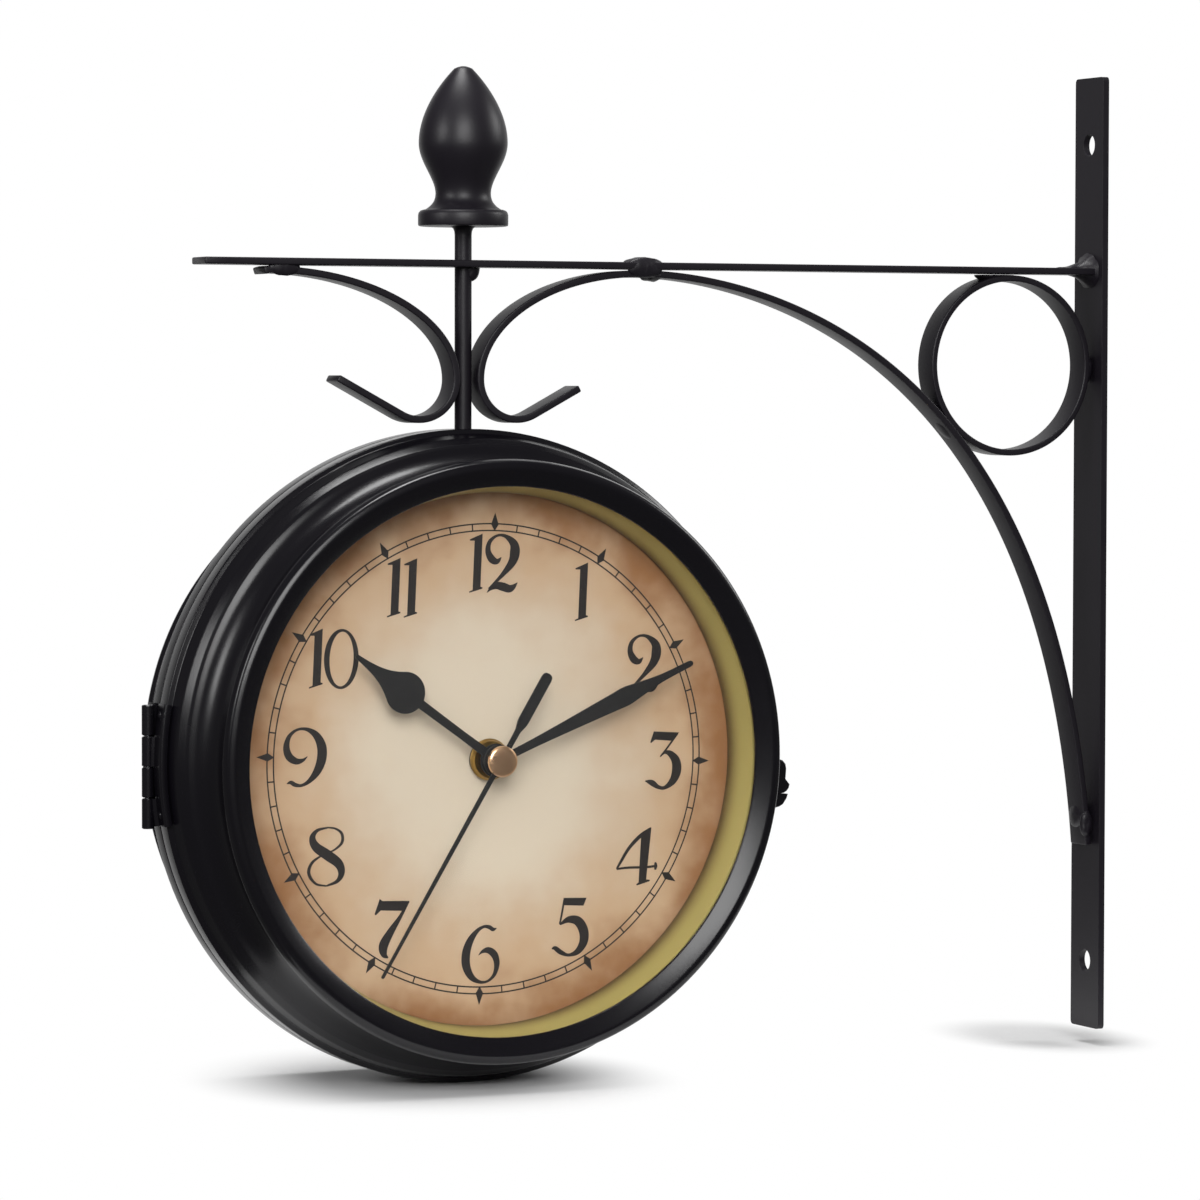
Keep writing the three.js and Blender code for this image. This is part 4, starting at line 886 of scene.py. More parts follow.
class CLOCK_OT_case_shells(bpy.types.Operator):
    """Spin the two steel shells of the case, with the tabs that hold the dials and the notch for the rod"""

    bl_idname = "clock.case_shells"
    bl_label = "Case shells"

    def execute(self, context):
        coat = case_enamel(context.scene.station_clock)
        tab_face = DIAL_BACK - 0.3
        tab = block(84.3, 92.3, tab_face - 0.8, tab_face, -4, 4)
        for side in SIDES:
            matrix, body = case_matrix(side), FIXED_BODY[side]
            shell = new_piece(f"{side}_case_shell", turned(shell_profile(), 192, closed=True), coat, matrix)
            notch_radius = ROD_RADIUS + 0.3
            cut_by(shell, upright([(0, 90), (notch_radius, 90), (notch_radius, 112), (0, 112)], 32), matrix)
            stands_for(shell, body, "satin_black", f"{side}_shell")
            turns = [Matrix.Rotation(2 * math.pi * (i + 0.5) / DIAL_TABS, 4, "Y") for i in range(DIAL_TABS)]
            tabs = joined(*(placed(tab, turn) for turn in turns))
            fit(f"{side}_dial_tabs", tabs, coat, body, "satin_black", matrix=matrix, edge=0.25)
        return {"FINISHED"}


class CLOCK_OT_glazing(bpy.types.Operator):
    """Set the round glasses behind the two bezels"""

    bl_idname = "clock.glazing"
    bl_label = "Glasses"

    def execute(self, context):
        glass = float_glass(context.scene.station_clock)
        rim, arris = STACK_RADIUS, 0.3
        edge = [(0, LENS_BACK), (rim - arris, LENS_BACK), (rim, LENS_BACK + arris), (rim, LENS_FACE - arris)]
        edge += [(rim - arris, LENS_FACE), (0, LENS_FACE)]
        for side in SIDES:
            goes = FIXED_BODY[side], "glass", f"{side}_lens"
            fit(f"{side}_glass", turned(edge, 128), glass, *goes, matrix=case_matrix(side))
        return {"FINISHED"}


class CLOCK_OT_reflectors(bpy.types.Operator):
    """Mould the gold rings that hold the dials off the glass"""

    bl_idname = "clock.reflectors"
    bl_label = "Reflector rings"

    def execute(self, context):
        gold = gold_plastic(context.scene.station_clock)
        back, front = DIAL_FACE + 0.3, LENS_BACK - 0.3
        run = front - back
        inner = bezier((82.3, back), (81.4, back + run * 0.35), (83.9, back + run * 0.75), (84.8, front), 16)
        ring = turned([(STACK_RADIUS, back), (STACK_RADIUS, front)] + inner[::-1], 160, closed=True)
        for side in SIDES:
            goes = FIXED_BODY[side], "gold_plastic", f"{side}_reflector"
            fit(f"{side}_reflector_ring", ring, gold, *goes, matrix=case_matrix(side))
        return {"FINISHED"}


# ---------------------------------------------------------------- dial

# Each numeral is drawn with a broad pen: strokes of (x, y, half width) and plain outlines of (x, y),
# in hundredths of the numeral's height about its middle.
STROKES = {
    "2": [
        [(-1, 11, 0.5), (-9, 4, 4.4), (-19, 8, 6), (-26, 21.5, 4.6), (-23, 37, 3.3), (-10, 47.3, 2),
         (5.4, 46.6, 3), (20.7, 34.6, 6.7), (23.4, 19.4, 8.3), (18.8, 3, 6.6), (3.5, -16.6, 3.7),
         (-12, -32.5, 2.2), (-22.3, -43, 1.9)],
        [(-25.5, -49, 0.4), (-19, -42.4, 2.5), (-8, -37, 5.5), (3.5, -38.5, 6.6), (15, -41.5, 6),
         (22.7, -38, 4), (30, -30.7, 0.4)],
    ],
    "3": [
        [(25, 46.6, 1.6), (4, 18.7, 1.5), (-6.6, 6.1, 1.2)],
        [(-6.6, 6.5, 1), (2, 13.6, 2.4), (12.5, 11.2, 5), (23, -0.4, 7.4), (25.2, -17.6, 8),
         (18.7, -34.8, 6), (4.2, -46.6, 3), (-8.3, -45.8, 3.2), (-20.8, -38.6, 4.6), (-33.6, -35.5, 0.8)],
    ],
    "4": [
        [(24.2, 49, 1.2), (5.4, 35.4, 3), (-15.5, 14.2, 2.7), (-30, -8.9, 2.3), (-37.6, -21.6, 1.6)],
        [(-37.6, -21.6, 1.6), (-15.5, -19.3, 1.9), (18, -18.5, 1.9), (35, -16.6, 1.9)],
        [(35, -10, 1.6), (36, -16.6, 2.8), (35, -23, 1.6)],
    ],
    "5": [
        [(-13.4, 46, 1.6), (-16.6, 25, 1.7), (-20, 5, 1.6)],
        [(-20, 4.6, 1.2), (-4, 13, 5), (13.6, 10.2, 7.4), (24.6, -5.8, 8), (25.2, -25, 7.2),
         (14.6, -41.4, 4.8), (-2, -47.3, 2.4), (-16.7, -42.4, 3.8), (-27.2, -35.5, 3.4),
         (-33.6, -36.5, 0.8)],
    ],
    "7": [
        [(29, 44.4, 2), (16, 20.4, 3), (-2, -7.4, 6), (-13, -28.6, 7.6), (-11.5, -43, 5.2),
         (-4, -49.2, 1)],
    ],
    "8": [
        [(1.2, 48.7, 1.3), (-18, 43.6, 2.6), (-26.2, 31.1, 5), (-19.5, 16.5, 7), (1.2, 2.9, 8),
         (21.4, -11, 7.2), (27.6, -26.4, 5.4), (20.6, -40.6, 3), (1.2, -48.7, 1.3)],
        [(1.2, -48.7, 1.3), (-18, -44.7, 1.9), (-30.6, -28.2, 2.7), (-25.9, -10.6, 2.3),
         (-8.8, 1.8, 1.5), (13.1, 11.3, 1.5), (26.7, 23.8, 2.3), (25.9, 38.4, 2.3), (15, 46.5, 1.6),
         (1.2, 48.7, 1.3)],
    ],
    "9": [
        [(4.6, 2.1, 0.4), (-4.2, -4.4, 2.8), (-15.8, -6.1, 5), (-28.2, 1.6, 6.1), (-33.6, 16.7, 5.2),
         (-29.3, 34.6, 3.3), (-15.8, 46, 2), (1.5, 47, 2.8), (18.4, 37.6, 5.6), (28.9, 19.2, 7.6),
         (29.6, -2.1, 7.7), (22.3, -22.4, 6.2), (9.3, -38.4, 3.6), (-4.2, -46, 2.3), (-15.8, -45.2, 3.2),
         (-23.5, -41.4, 3), (-31, -43.4, 0.5)],
    ],
}
OUTLINES = {
    "1": [
        [(-13.1, 39.8), (10.2, 50), (9.4, -39.4), (13.1, -40.2), (13.1, -42.4), (-10.7, -50),
         (-11.1, -47.7), (-4.9, -45), (-4.1, 37.8), (-12.6, 37.6)],
    ],
    "3": [
        [(-20.3, 49.3), (27.8, 48.1), (24, 44.6), (13.3, 33.6), (-17.4, 35.1), (-24.6, 29.4),
         (-26.4, 30.6)],
    ],
    "4": [
        [(25.5, 50), (18.8, -39.4), (25.5, -40.2), (25.5, -42.6), (1.3, -50), (0.4, -47.6), (4.6, -44.6),
         (6.3, 33.5)],
    ],
    "5": [
        [(-14.8, 50), (28.4, 50), (23, 36.6), (-14.8, 37.4)],
    ],
    "7": [
        [(-22.5, 50), (-17.5, 46.2), (31.6, 46.4), (31, 43), (22, 29.6), (-20, 30.3), (-28.6, 22.4),
         (-31, 24)],
    ],
}
# how far apart the figures of a two figure numeral stand
ADVANCE = {"0": 60, "1": 30, "2": 64}


def ribbon(stroke, steps=9):
    """Left and right edge of a pen stroke."""
    line = through(stroke, steps)
    left, right = [], []
    for i, (x, y, half) in enumerate(line):
        x0, y0, _ = line[max(i - 1, 0)]
        x1, y1, _ = line[min(i + 1, len(line) - 1)]
        along = Vector((x1 - x0, y1 - y0)).normalized()
        half = max(half * 1.1, 0.2)
        left.append((x - along.y * half, y + along.x * half))
        right.append((x + along.y * half, y - along.x * half))
    return left, right


def glyph(character):
    """The sheets of ink of one numeral: lists of quads or one outline, in hundredths of its height."""
    if character == "6":
        return [[(-x * 0.9, -y) for x, y in sheet] for sheet in glyph("9")]
    sheets = [list(outline) for outline in OUTLINES.get(character, [])]
    for stroke in STROKES.get(character, []):
        left, right = ribbon(stroke)
        sheets.append(left + right[::-1])
    if character == "0":
        # the bowl is widest at its sides; two halves, each a closed crescent
        angles = [math.pi * i / 32 for i in range(65)]
        outer = [(31 * math.cos(a), 50 * math.sin(a)) for a in angles]
        inner = [(21.4 * math.cos(a) + 0.4, 45.4 * math.sin(a + 0.03)) for a in angles]
        sheets.append(outer[:33] + inner[:33][::-1])
        sheets.append(outer[32:] + inner[32:][::-1])
    return sheets


def sheet_faces(sheet, depth, matrix):
    """A flat outline of ink at a depth; a ribbon's outline is cut into quads across its length."""
    points = []
    for x, y in sheet:
        place = matrix @ Vector((x, y, 0))
        points.append((place.x, -depth, place.y))
    count = len(points)
    if count > 20 and count % 2 == 0:
        faces = [(i, i + 1, count - 2 - i, count - 1 - i) for i in range(count // 2 - 1)]
        return points, faces
    mesh = bmesh.new()
    corners = [mesh.verts.new(p) for p in points]
    edges = [mesh.edges.new((corners[i - 1], corners[i])) for i in range(count)]
    bmesh.ops.triangle_fill(mesh, use_beauty=True, use_dissolve=False, edges=edges, normal=(0, -1, 0))
    mesh.verts.index_update()
    faces = [tuple(v.index for v in f.verts) for f in mesh.faces]
    points = [tuple(v.co) for v in mesh.verts]
    mesh.free()
    return points, faces


def dial_print(settings):
    """The sheets of ink on a dial: numerals upright, minute track and hour diamonds, turned a little."""
    base = DIAL_FACE + 0.03
    layer = 0.006
    tilt = math.radians(DIAL_TURN)
    unit = settings.numeral_height / MM / 100
    line = settings.track_line / MM
    sheets = []
    for hour in range(1, 13):
        angle = math.pi / 6 * hour + tilt
        centre = Matrix.Translation((NUMERAL_CIRCLE * math.sin(angle), NUMERAL_CIRCLE * math.cos(angle), 0))
        upright_pen = centre @ Matrix.Rotation(-tilt, 4, "Z") @ Matrix.Scale(unit, 4)
        text = str(hour)
        wide = [ADVANCE[c] for c in text] if len(text) > 1 else [0]
        pen = -sum(wide) / 2
        for width, character in zip(wide, text):
            matrix = upright_pen @ Matrix.Translation((pen + width / 2, 0, 0))
            pen += width
            for order, sheet in enumerate(glyph(character)):
                sheets.append(sheet_faces(sheet, base + layer * order, matrix))
    for middle in (TRACK_IN, TRACK_OUT):
        sheets.append(turned([(middle - line / 2, base), (middle + line / 2, base)], 240))
    half = line / 2
    tick = [(-half, TRACK_IN), (half, TRACK_IN), (half, TRACK_OUT), (-half, TRACK_OUT)]
    diamond = [(0, 70.2), (1.25, 72.3), (0, 76), (-1.25, 72.3)]
    for minute in range(60):
        spin = Matrix.Rotation(-(math.pi / 30 * minute + tilt), 4, "Z")
        sheets.append(sheet_faces(tick if minute % 5 else diamond, base + layer, spin))
    return joined(*sheets)


class CLOCK_OT_dials(bpy.types.Operator):
    """Cut the two dial cards and print their numerals and minute tracks"""

    bl_idname = "clock.dials"
    bl_label = "Dials"

    def execute(self, context):
        settings = context.scene.station_clock
        card, ink = dial_card(settings), dial_ink(settings)
        profile = [(4.2, DIAL_BACK), (4.2, DIAL_FACE), (STACK_RADIUS, DIAL_FACE), (STACK_RADIUS, DIAL_BACK)]
        for side in SIDES:
            matrix = case_matrix(side)
            disc = new_piece(f"{side}_dial_card", turned(profile, 128, closed=True), card, matrix)
            stands_for(disc, FIXED_BODY[side], "dial_card", f"{side}_dial")
            printed = new_piece(f"{side}_dial_print", dial_print(settings), ink, matrix, merge=False)
            face_out(printed)
            stands_for(printed, FIXED_BODY[side], "dial_card")
        return {"FINISHED"}


def face_out(piece):
    """Turns each face of a flat print towards the viewer of the dial."""
    mesh = bmesh.new()
    mesh.from_mesh(piece.data)
    mesh.normal_update()
    backward = [face for face in mesh.faces if face.normal.y > 0]
    bmesh.ops.reverse_faces(mesh, faces=backward)
    mesh.to_mesh(piece.data)
    mesh.free()


# ---------------------------------------------------------------- hands


def mirrored(right):
    """A closed outline from its right side, listed upwards."""
    left = [(-x, z) for x, z in reversed(right) if x > 1e-6]
    return right + left


def round_part(height, radius, start, end, steps):
    """Part of a hand's round, with its angle counted from straight up."""
    angles = [start + (end - start) * i / steps for i in range(steps + 1)]
    return [(radius * math.sin(a), height + radius * math.cos(a)) for a in angles]


def hub_arc(radius, start_half, tail_half):
    start = math.pi - (math.asin(tail_half / radius) if tail_half else 0.0)
    return round_part(0, radius, start, math.asin(start_half / radius), 20)


def hour_hand_outline():
    stem, spade = 1.4, 6.4
    disc = round_part(37, spade, math.pi - math.asin(stem / spade), 0.9, 24)
    tip = bezier(disc[-1], (2.6, 44.6), (1.2, 48), (0.7, 56.4), 18)[1:]
    return mirrored(hub_arc(5.2, stem, 0) + [(1.26, 14)] + disc + tip + [(0.45, 56.85), (0, 57)])


def minute_hand_outline():
    corners = [(1.26, 5.4), (1.4, 14), (2.0, 28), (2.7, 42), (2.95, 47), (2.45, 51), (1.25, 60), (0.95, 70.8)]
    return mirrored(hub_arc(5.0, 1.26, 0) + through(corners, 6) + [(0.8, 71.5), (0.45, 71.9), (0, 72)])


def second_hand_outline():
    needle = [(0.75, 4), (0.45, 75.4), (0.3, 75.8), (0, 76)]
    tail = [(0, -31), (1.0, -30.8), (1.55, -30.2), (1.75, -29.2)]
    tail += through([(1.75, -14.4), (1.6, -13.2), (1.1, -11.4), (0.9, -10.2), (0.8, -4)], 4)
    return mirrored(tail + hub_arc(3.0, 0.75, 0.8) + needle)


def hand_blade(outline, face, bore=0.0, collet=0.0):
    """A stamped blade with a collet pressed into its hub, or the second hand's pin where it has no bore."""
    hole = [arc((0, 0), bore, 0, 2 * math.pi * 23 / 24, 23)] if bore else []
    blade = flat_plate(outline, hole, face - HAND_THICK, face)
    if bore:
        ring = [(bore, face - 0.9), (collet, face - 0.9), (collet, face - 0.3), (bore, face - 0.3)]
        return joined(blade, turned(ring, 48, closed=True))
    return joined(blade, turned([(0, 9), (0.6, 9), (0.6, face - 0.3), (0, face - 0.3)], 24))


class CLOCK_OT_hands(bpy.types.Operator):
    """Stamp the spade, lance and second hands of both dials, with their tubes and the copper cap"""

    bl_idname = "clock.hands"
    bl_label = "Hands"

    def execute(self, context):
        settings = context.scene.station_clock
        enamel, brass = hand_enamel(settings), turned_brass(settings)
        plastic, copper = moulded_plastic(settings), copper_plate(settings)
        # the photograph shows 11 past 10
        minutes, seconds = 11.05, 35.2
        shares = {"hour": (10 + minutes / 60) / 12, "minute": minutes / 60, "second": seconds / 60}
        blades = {
            "hour": hand_blade(hour_hand_outline(), 25.6, 2.9, 4.8),
            "minute": hand_blade(minute_hand_outline(), 27.6, 1.9, 4.6),
            "second": hand_blade(second_hand_outline(), 29.5),
        }
        cap = [(0, 29.8), (4.7, 29.8), (4.8, 29.9), (4.8, 30.4), (4.7, 30.75), (4.4, 31.0), (3.8, 31.16)]
        cap = turned(cap + [(2.6, 31.26), (1.2, 31.3), (0, 31.3)], 64)
        for side in SIDES:
            base = case_matrix(side)
            for name, blade in blades.items():
                matrix = base @ Matrix.Rotation(2 * math.pi * shares[name], 4, "Y")
                goes = f"{side}_{name}", "hand_black", f"{side}_{name}_hand"
                fit(f"{side}_{name}_hand_blade", blade, enamel, *goes, matrix=matrix, edge=0.16, segments=2)
            goes = f"{side}_second", "copper", f"{side}_second_cap"
            fit(f"{side}_copper_cap", cap, copper, *goes, matrix=base)
            dress(f"{side}_hour_tube", plastic, 0.12)
            dress(f"{side}_minute_arbor", brass, 0.1)
        return {"FINISHED"}


class CLOCK_OT_stem_fittings(bpy.types.Operator):
    """Finish the brass bush and nut and the rubber washer that clamp each movement to its dial"""

    bl_idname = "clock.stem_fittings"
    bl_label = "Stem fittings"

    def execute(self, context):
        settings = context.scene.station_clock
        brass, rubber = turned_brass(settings), nitrile_rubber(settings)
        # the bush has 11 turns of thread between these depths
        low, high, crests = 9.3, 23.5, 11
        pitch = (high - low) / crests
        thread = [(3.9 - 0.28 * (i % 2), low + i * pitch / 2) for i in range(crests * 2 + 1)]
        bush = [(2.9, 9), (3.6, 9)] + thread + [(3.6, 23.8), (2.9, 23.8)]
        washer = rounded([(4.2, 18.6), (6.2, 18.6), (6.2, 19.4), (4.2, 19.4)], [0.25] * 4)
        nut = [(4.25, 19.8), (6.3, 19.8), (6.45, 19.95), (6.45, 20.35), (6.2, 20.5), (6.1, 20.7)]
        nut += [(5.95, 20.9), (5.85, 21.6), (5.7, 21.9), (4.6, 21.9), (4.25, 21.6)]
        fittings = (
            ("threaded_bush", bush, 48, brass, "brass", "stem_bush"),
            ("rubber_washer", washer, 64, rubber, "rubber", "stem_washer"),
            ("round_nut", nut, 64, brass, "brass", "stem_nut"),
        )
        for side in SIDES:
            matrix, body = case_matrix(side), FIXED_BODY[side]
            for name, profile, steps, material, slot, node in fittings:
                solid = turned(profile, steps, closed=True)
                fit(f"{side}_{name}", solid, material, body, slot, f"{side}_{node}", matrix=matrix)
        return {"FINISHED"}


def movement_ribs():
    """Raised marks of the mould on the lid and the cell door, and the grips on the movement's sides."""
    low, top, wide = 1.85, 2.4, 0.8
    ribs = [block(-22, -5, low, top, z, z + wide) for z in (20.5, 17.5, 14.5, 11.5)]
    ribs += [block(x, x + wide, low, top, -9.5, -1.5) for x in (-24, 23.2)]
    ribs += [block(-26.4, 26.4, low, top, z, z + 0.7) for z in (-9.9, -27.3)]
    ribs += [block(x, x + 0.4, 4.0, 11.0, z, z + 6) for x in (-28.3, 27.9) for z in (-16, 10)]
    return joined(*ribs)


def dry_cell():
    """An AA cell lying along X, with the plus button at +X."""
    radius, half, shift = 7.1, 24.6, 0.7
    foot, top = -half - shift, half - shift
    profile = [(0, foot + 0.15), (4.2, foot + 0.15), (4.4, foot), (6.3, foot), (6.9, foot + 0.2)]
    profile += [(radius, foot + 0.8), (radius, top - 0.8), (6.9, top - 0.2), (6.4, top), (2.9, top - 0.1)]
    profile += [(2.7, top), (2.7, half + shift - 0.3), (2.4, half + shift), (0, half + shift)]
    return placed(upright(profile, 48), Matrix.Rotation(math.pi / 2, 4, "Y"))


class CLOCK_OT_movements(bpy.types.Operator):
    """Finish the quartz movements with their moulded lids, hand setting wheels and cells"""

    bl_idname = "clock.movements"
    bl_label = "Movements"

    def execute(self, context):
        settings = context.scene.station_clock
        plastic, sleeve = moulded_plastic(settings), battery_sleeve(settings)
        bay = Matrix.Translation((0, -9.3 * MM, -18.6 * MM))
        for side in SIDES:
            matrix, body = case_matrix(side), FIXED_BODY[side]
            dress(f"{side}_movement_case", plastic, 0.5)
            dress(f"{side}_set_knob", plastic, 0.15)
            ribs = f"{side}_movement_ribs", movement_ribs(), plastic, body, "black_plastic"
            fit(*ribs, matrix=matrix, edge=0.12, segments=2)
            cell = f"{side}_dry_cell", dry_cell(), sleeve, body, "battery_jacket", f"{side}_battery"
            fit(*cell, matrix=matrix @ bay)
        return {"FINISHED"}


# ---------------------------------------------------------------- hinge and latch


def hinge_leaf(first):
    """A strap rolled to the rim, with every second knuckle from the first one on, and two rivets."""
    drop, length, knuckles = 0.7, 37.6, 4
    inner, outer, gap, edge = RIM_RADIUS + 0.3, RIM_RADIUS + SHEET, 2.2, 7.2
    axis = inner + 1.9
    spread = math.asin(length / 2 / outer) - 0.002
    strap = [(inner, gap), (outer, gap), (outer, edge), (outer - 0.25, edge + 0.9)]
    strap += [(inner - 1.4, edge + 0.9), (inner - 1.4, edge), (inner, edge)]
    strap = rounded(strap, [0.2, 0.2, 0.3, 0.6, 0.3, 0.1, 0.2], steps=3)
    parts = [turned(strap, 28, closed=True, start=math.pi - spread, sweep=2 * spread)]
    root = [(inner, 0.4), (outer + 1, 0.4), (outer + 1, 1.5), (outer, gap + 0.4), (inner, gap + 0.1)]
    pitch = length / knuckles
    for i in range(first, knuckles, 2):
        top = length / 2 - i * pitch - (0 if i == 0 else 0.15)
        bottom = length / 2 - (i + 1) * pitch + (0 if i == knuckles - 1 else 0.15)
        tube = [(1.15, bottom), (1.6, bottom), (1.9, bottom + 0.3), (1.9, top - 0.3), (1.6, top), (1.15, top)]
        parts.append(placed(upright(tube, 32, closed=True), Matrix.Translation((-axis, 0, -drop))))
        low, high = (
            math.asin(max((z - drop) / outer, -math.sin(spread))) for z in (bottom + 0.05, top - 0.05)
        )
        parts.append(turned(root, 10, closed=True, start=math.pi - high, sweep=high - low))
    head = turned([(0, 0.45), (0.5, 0.4), (0.9, 0.2), (1.05, 0.0), (1.05, -0.3), (0, -0.3)], 24)
    for height in (15.2, -15.2):
        aim = Matrix.Rotation(math.asin(height / outer), 4, "Y") @ Matrix.Rotation(-math.pi / 2, 4, "Z")
        place = Matrix.Translation((-math.sqrt(outer**2 - height**2), -4.6, height))
        parts.append(placed(head, place @ aim))
    return joined(*parts)


class CLOCK_OT_hinge(bpy.types.Operator):
    """Form the two curved hinge leaves with their rolled knuckles and rivets, and the pin"""

    bl_idname = "clock.hinge"
    bl_label = "Hinge"

    def execute(self, context):
        settings = context.scene.station_clock
        coat = case_enamel(settings)
        matrix = case_matrix("front")
        for side, forward, first in (("front", 1, 1), ("rear", -1, 0)):
            points, faces = hinge_leaf(first)
            leaf = [(x, y * forward, z) for x, y, z in points], faces
            goes = FIXED_BODY[side], "satin_black", f"hinge_leaf_{side}"
            fit(f"{side}_hinge_leaf_strap", leaf, coat, *goes, matrix=matrix)
        dress("hinge_pin", zinc_plate(settings), 0.2)
        return {"FINISHED"}


def latch_cheeks():
    """Two cheeks of the latch base, below and above the lever."""
    near, far, lever_half = 98.3, 108.6, 6.12
    below = [(near, -lever_half), (far, -lever_half), (108.2, -7.6), (107.1, -9.5), (105.7, -10.4)]
    below += [(104.4, -10.8), (near, -11.0)]
    above = [(97.2, 14.5), (100.6, 13.8), (104.8, 6.2), (near, 6.2)]
    return joined(*(flat_plate(outline, [], 8.9, 11.3) for outline in (below, above)))


class CLOCK_OT_latch(bpy.types.Operator):
    """Finish the draw latch: base, pressed lever, wire bail, pin and the catch on the rear rim"""

    bl_idname = "clock.latch"
    bl_label = "Draw latch"

    def execute(self, context):
        settings = context.scene.station_clock
        coat, zinc = case_enamel(settings), zinc_plate(settings)
        for node, width in (("latch_base", 0.25), ("latch_lever", 0.2), ("latch_catch", 0.25)):
            dress(node, coat, width)
        # the latch sits 4.5 degrees below the middle of the rim
        matrix = case_matrix("front") @ Matrix.Rotation(math.radians(4.5), 4, "Y")
        fit("latch_base_cheeks", latch_cheeks(), coat, "door", "satin_black", matrix=matrix, edge=0.2)
        dress("latch_bail", zinc, 0.0)
        dress("latch_pin", zinc, 0.12)
        return {"FINISHED"}


# ---------------------------------------------------------------- stage


def background_rays(tree):
    """1 for a ray that shows the background: first one seen directly, then one in a reflection or glass."""
    path = add_node(tree, "ShaderNodeLightPath")
    rays = {0: path.outputs["Is Glossy Ray"], 1: path.outputs["Is Transmission Ray"]}
    indirect = add_node(tree, "ShaderNodeMath", {"operation": "MAXIMUM"}, rays)
    return path.outputs["Is Camera Ray"], indirect.outputs["Value"]


@finish("white studio paper")
def studio_paper(tree, place, settings):
    """White paper, its grain 5 mm across: it holds the shadow close under the clock, then is plain white."""
    look = {
        "Color": opaque(settings.floor_colour),
        "Normal": fine_grain(tree, place, 200.0, 2.0, 0.05, 0.0001),
    }
    lit = add_node(tree, "ShaderNodeBsdfDiffuse", inputs=look)
    # the shadow stays within an oval of 160 mm by 185 mm under the case and a small one at the plate's foot
    away = []
    for stretch, shift in (((15.0, 13.0, 0.0), (3.5, -0.1, 0.0)), ((34.0, 22.0, 0.0), (0.2, -0.5, 0.0))):
        oval = add_node(
            tree, "ShaderNodeVectorMath", {"operation": "MULTIPLY_ADD"}, {0: place, 1: stretch, 2: shift}
        )
        out = add_node(tree, "ShaderNodeVectorMath", {"operation": "LENGTH"}, {0: oval.outputs["Vector"]})
        away.append(out.outputs["Value"])
    nearest = add_node(tree, "ShaderNodeMath", {"operation": "MINIMUM"}, {0: away[0], 1: away[1]})
    fade = add_node(
        tree,
        "ShaderNodeMapRange",
        {"interpolation_type": "SMOOTHSTEP"},
        {"Value": nearest.outputs["Value"], "From Min": 0.45, "From Max": 1.2},
    )
    direct, indirect = background_rays(tree)
    seen = add_node(tree, "ShaderNodeMath", {"operation": "MAXIMUM"}, {0: direct, 1: indirect})
    factors = {0: seen.outputs["Value"], 1: fade.outputs["Result"]}
    share = add_node(tree, "ShaderNodeMath", {"operation": "MULTIPLY"}, factors)
    white = add_node(tree, "ShaderNodeEmission", inputs={"Color": (1, 1, 1, 1), "Strength": 1.0})
    both = {0: share.outputs["Value"], 1: lit.outputs["BSDF"], 2: white.outputs["Emission"]}
    return add_node(tree, "ShaderNodeMixShader", inputs=both).outputs["Shader"]


def light_world(scene):
    """A dim plain world that the camera sees as white; reflections find the white only behind the clock."""
    world = bpy.data.worlds.new("plain studio")
    scene.world = world
    world.use_nodes = True
    tree = world.node_tree
    tree.nodes.clear()
    towards = add_node(tree, "ShaderNodeTexCoord").outputs["Generated"]
    aim = {0: towards, 1: (0.42, 0.91, 0.0)}
    behind = add_node(tree, "ShaderNodeVectorMath", {"operation": "DOT_PRODUCT"}, aim)
    edge = {"Value": behind.outputs["Value"], "From Min": 0.6, "From Max": 0.95}
    backdrop = add_node(tree, "ShaderNodeMapRange", inputs=edge)
    direct, indirect = background_rays(tree)
    factors = {0: indirect, 1: backdrop.outputs["Result"]}
    mirrored_white = add_node(tree, "ShaderNodeMath", {"operation": "MULTIPLY"}, factors)
    either = {0: direct, 1: mirrored_white.outputs["Value"]}
    seen = add_node(tree, "ShaderNodeMath", {"operation": "MAXIMUM"}, either)
    dim = add_node(tree, "ShaderNodeBackground", inputs={"Color": (1, 1, 1, 1), "Strength": 0.1})
    bright = add_node(tree, "ShaderNodeBackground", inputs={"Color": (1, 1, 1, 1), "Strength": 1.0})
    both = {0: seen.outputs["Value"], 1: dim.outputs["Background"], 2: bright.outputs["Background"]}
    surface = add_node(tree, "ShaderNodeMixShader", inputs=both).outputs["Shader"]
    add_node(tree, "ShaderNodeOutputWorld", inputs={"Surface": surface})


def hang_lamp(scene, name, place, size, power):
    """A square softbox aimed at the middle of the clock; places and sizes are in metres, power in watts."""
    data = bpy.data.lights.new(name, "AREA")
    data.shape = "SQUARE"
    data.size = size
    data.energy = power
    lamp = bpy.data.objects.new(name, data)
    scene.collection.objects.link(lamp)
    lamp.location = place
    middle = Vector((-0.2, 0.0, -0.03))
    lamp.rotation_euler = (middle - Vector(place)).to_track_quat("-Z", "Y").to_euler()


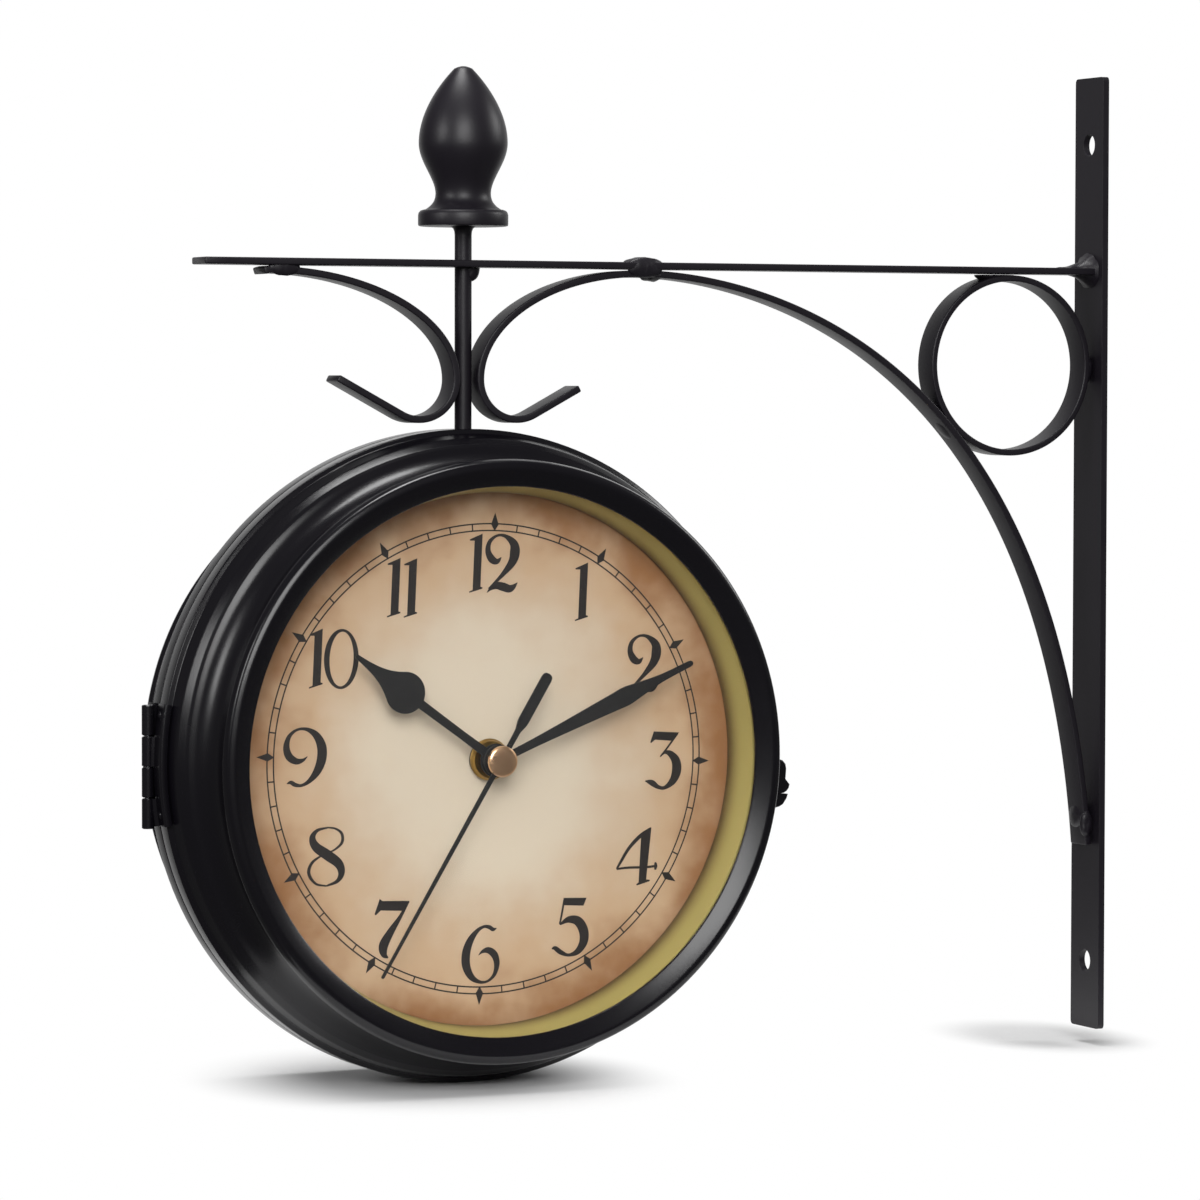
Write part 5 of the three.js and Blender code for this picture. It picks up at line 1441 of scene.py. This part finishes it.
class CLOCK_OT_stage(bpy.types.Operator):
    """Set the white paper, the soft lamps, the plain world and the camera"""

    bl_idname = "clock.stage"
    bl_label = "Stage"

    def execute(self, context):
        settings = context.scene.station_clock
        scene = context.scene
        scene.view_settings.view_transform = "Standard"

        floor_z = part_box("front_shell")[0].z / MM - 0.1
        # a sheet just wide enough for the shadow, so that glass and paint mirror little of it
        wide, deep, cell, left, near = 19, 11, 20, -320, -90
        points = [(left + cell * i, near + cell * k, floor_z) for i in range(wide) for k in range(deep)]
        faces = faces_between(wide, deep, closed=False)
        new_piece("studio_floor", (points, faces), studio_paper(settings))

        light_world(scene)
        hang_lamp(scene, "key softbox", (-0.9, -1.74, 0.75), 1.0, 21.5)
        hang_lamp(scene, "left softbox", (-1.9, -0.3, 0.65), 0.6, 7.0)
        hang_lamp(scene, "right softbox", (1.6, -0.3, 0.8), 0.6, 9.0)
        hang_lamp(scene, "top softbox", (-0.3, 0.1, 1.4), 0.6, 12.0)

        data = bpy.data.cameras.new("photograph")
        data.lens = 155.0
        data.sensor_width = 36.0
        camera = bpy.data.objects.new("photograph", data)
        scene.collection.objects.link(camera)
        camera.location = (-0.85845, -1.47541, 0.05395)
        camera.rotation_euler = [math.radians(angle) for angle in (87.66, -0.11, -24.74)]
        scene.camera = camera
        return {"FINISHED"}


class CLOCK_PT_sidebar(bpy.types.Panel):
    """Lists the pieces of the clock"""

    bl_idname = "CLOCK_PT_sidebar"
    bl_label = "Station clock"
    bl_space_type = "VIEW_3D"
    bl_region_type = "UI"
    bl_category = "Clock"

    def draw(self, context):
        settings = context.scene.station_clock
        for name in StationClockSettings.__annotations__:
            self.layout.prop(settings, name)
        for operator in OPERATORS:
            self.layout.operator(operator.bl_idname)


OPERATORS = (
    CLOCK_OT_wall_bracket,
    CLOCK_OT_hanger,
    CLOCK_OT_case_shells,
    CLOCK_OT_glazing,
    CLOCK_OT_reflectors,
    CLOCK_OT_dials,
    CLOCK_OT_hands,
    CLOCK_OT_stem_fittings,
    CLOCK_OT_movements,
    CLOCK_OT_hinge,
    CLOCK_OT_latch,
    CLOCK_OT_stage,
)
CLASSES = (StationClockSettings, *OPERATORS, CLOCK_PT_sidebar)


def register():
    for item in CLASSES:
        bpy.utils.register_class(item)
    bpy.types.Scene.station_clock = bpy.props.PointerProperty(type=StationClockSettings)


def unregister():
    del bpy.types.Scene.station_clock
    for item in reversed(CLASSES):
        bpy.utils.unregister_class(item)


def main():
    register()
    for operator in OPERATORS:
        group, name = operator.bl_idname.split(".")
        getattr(getattr(bpy.ops, group), name)()


if __name__ == "__main__":
    main()
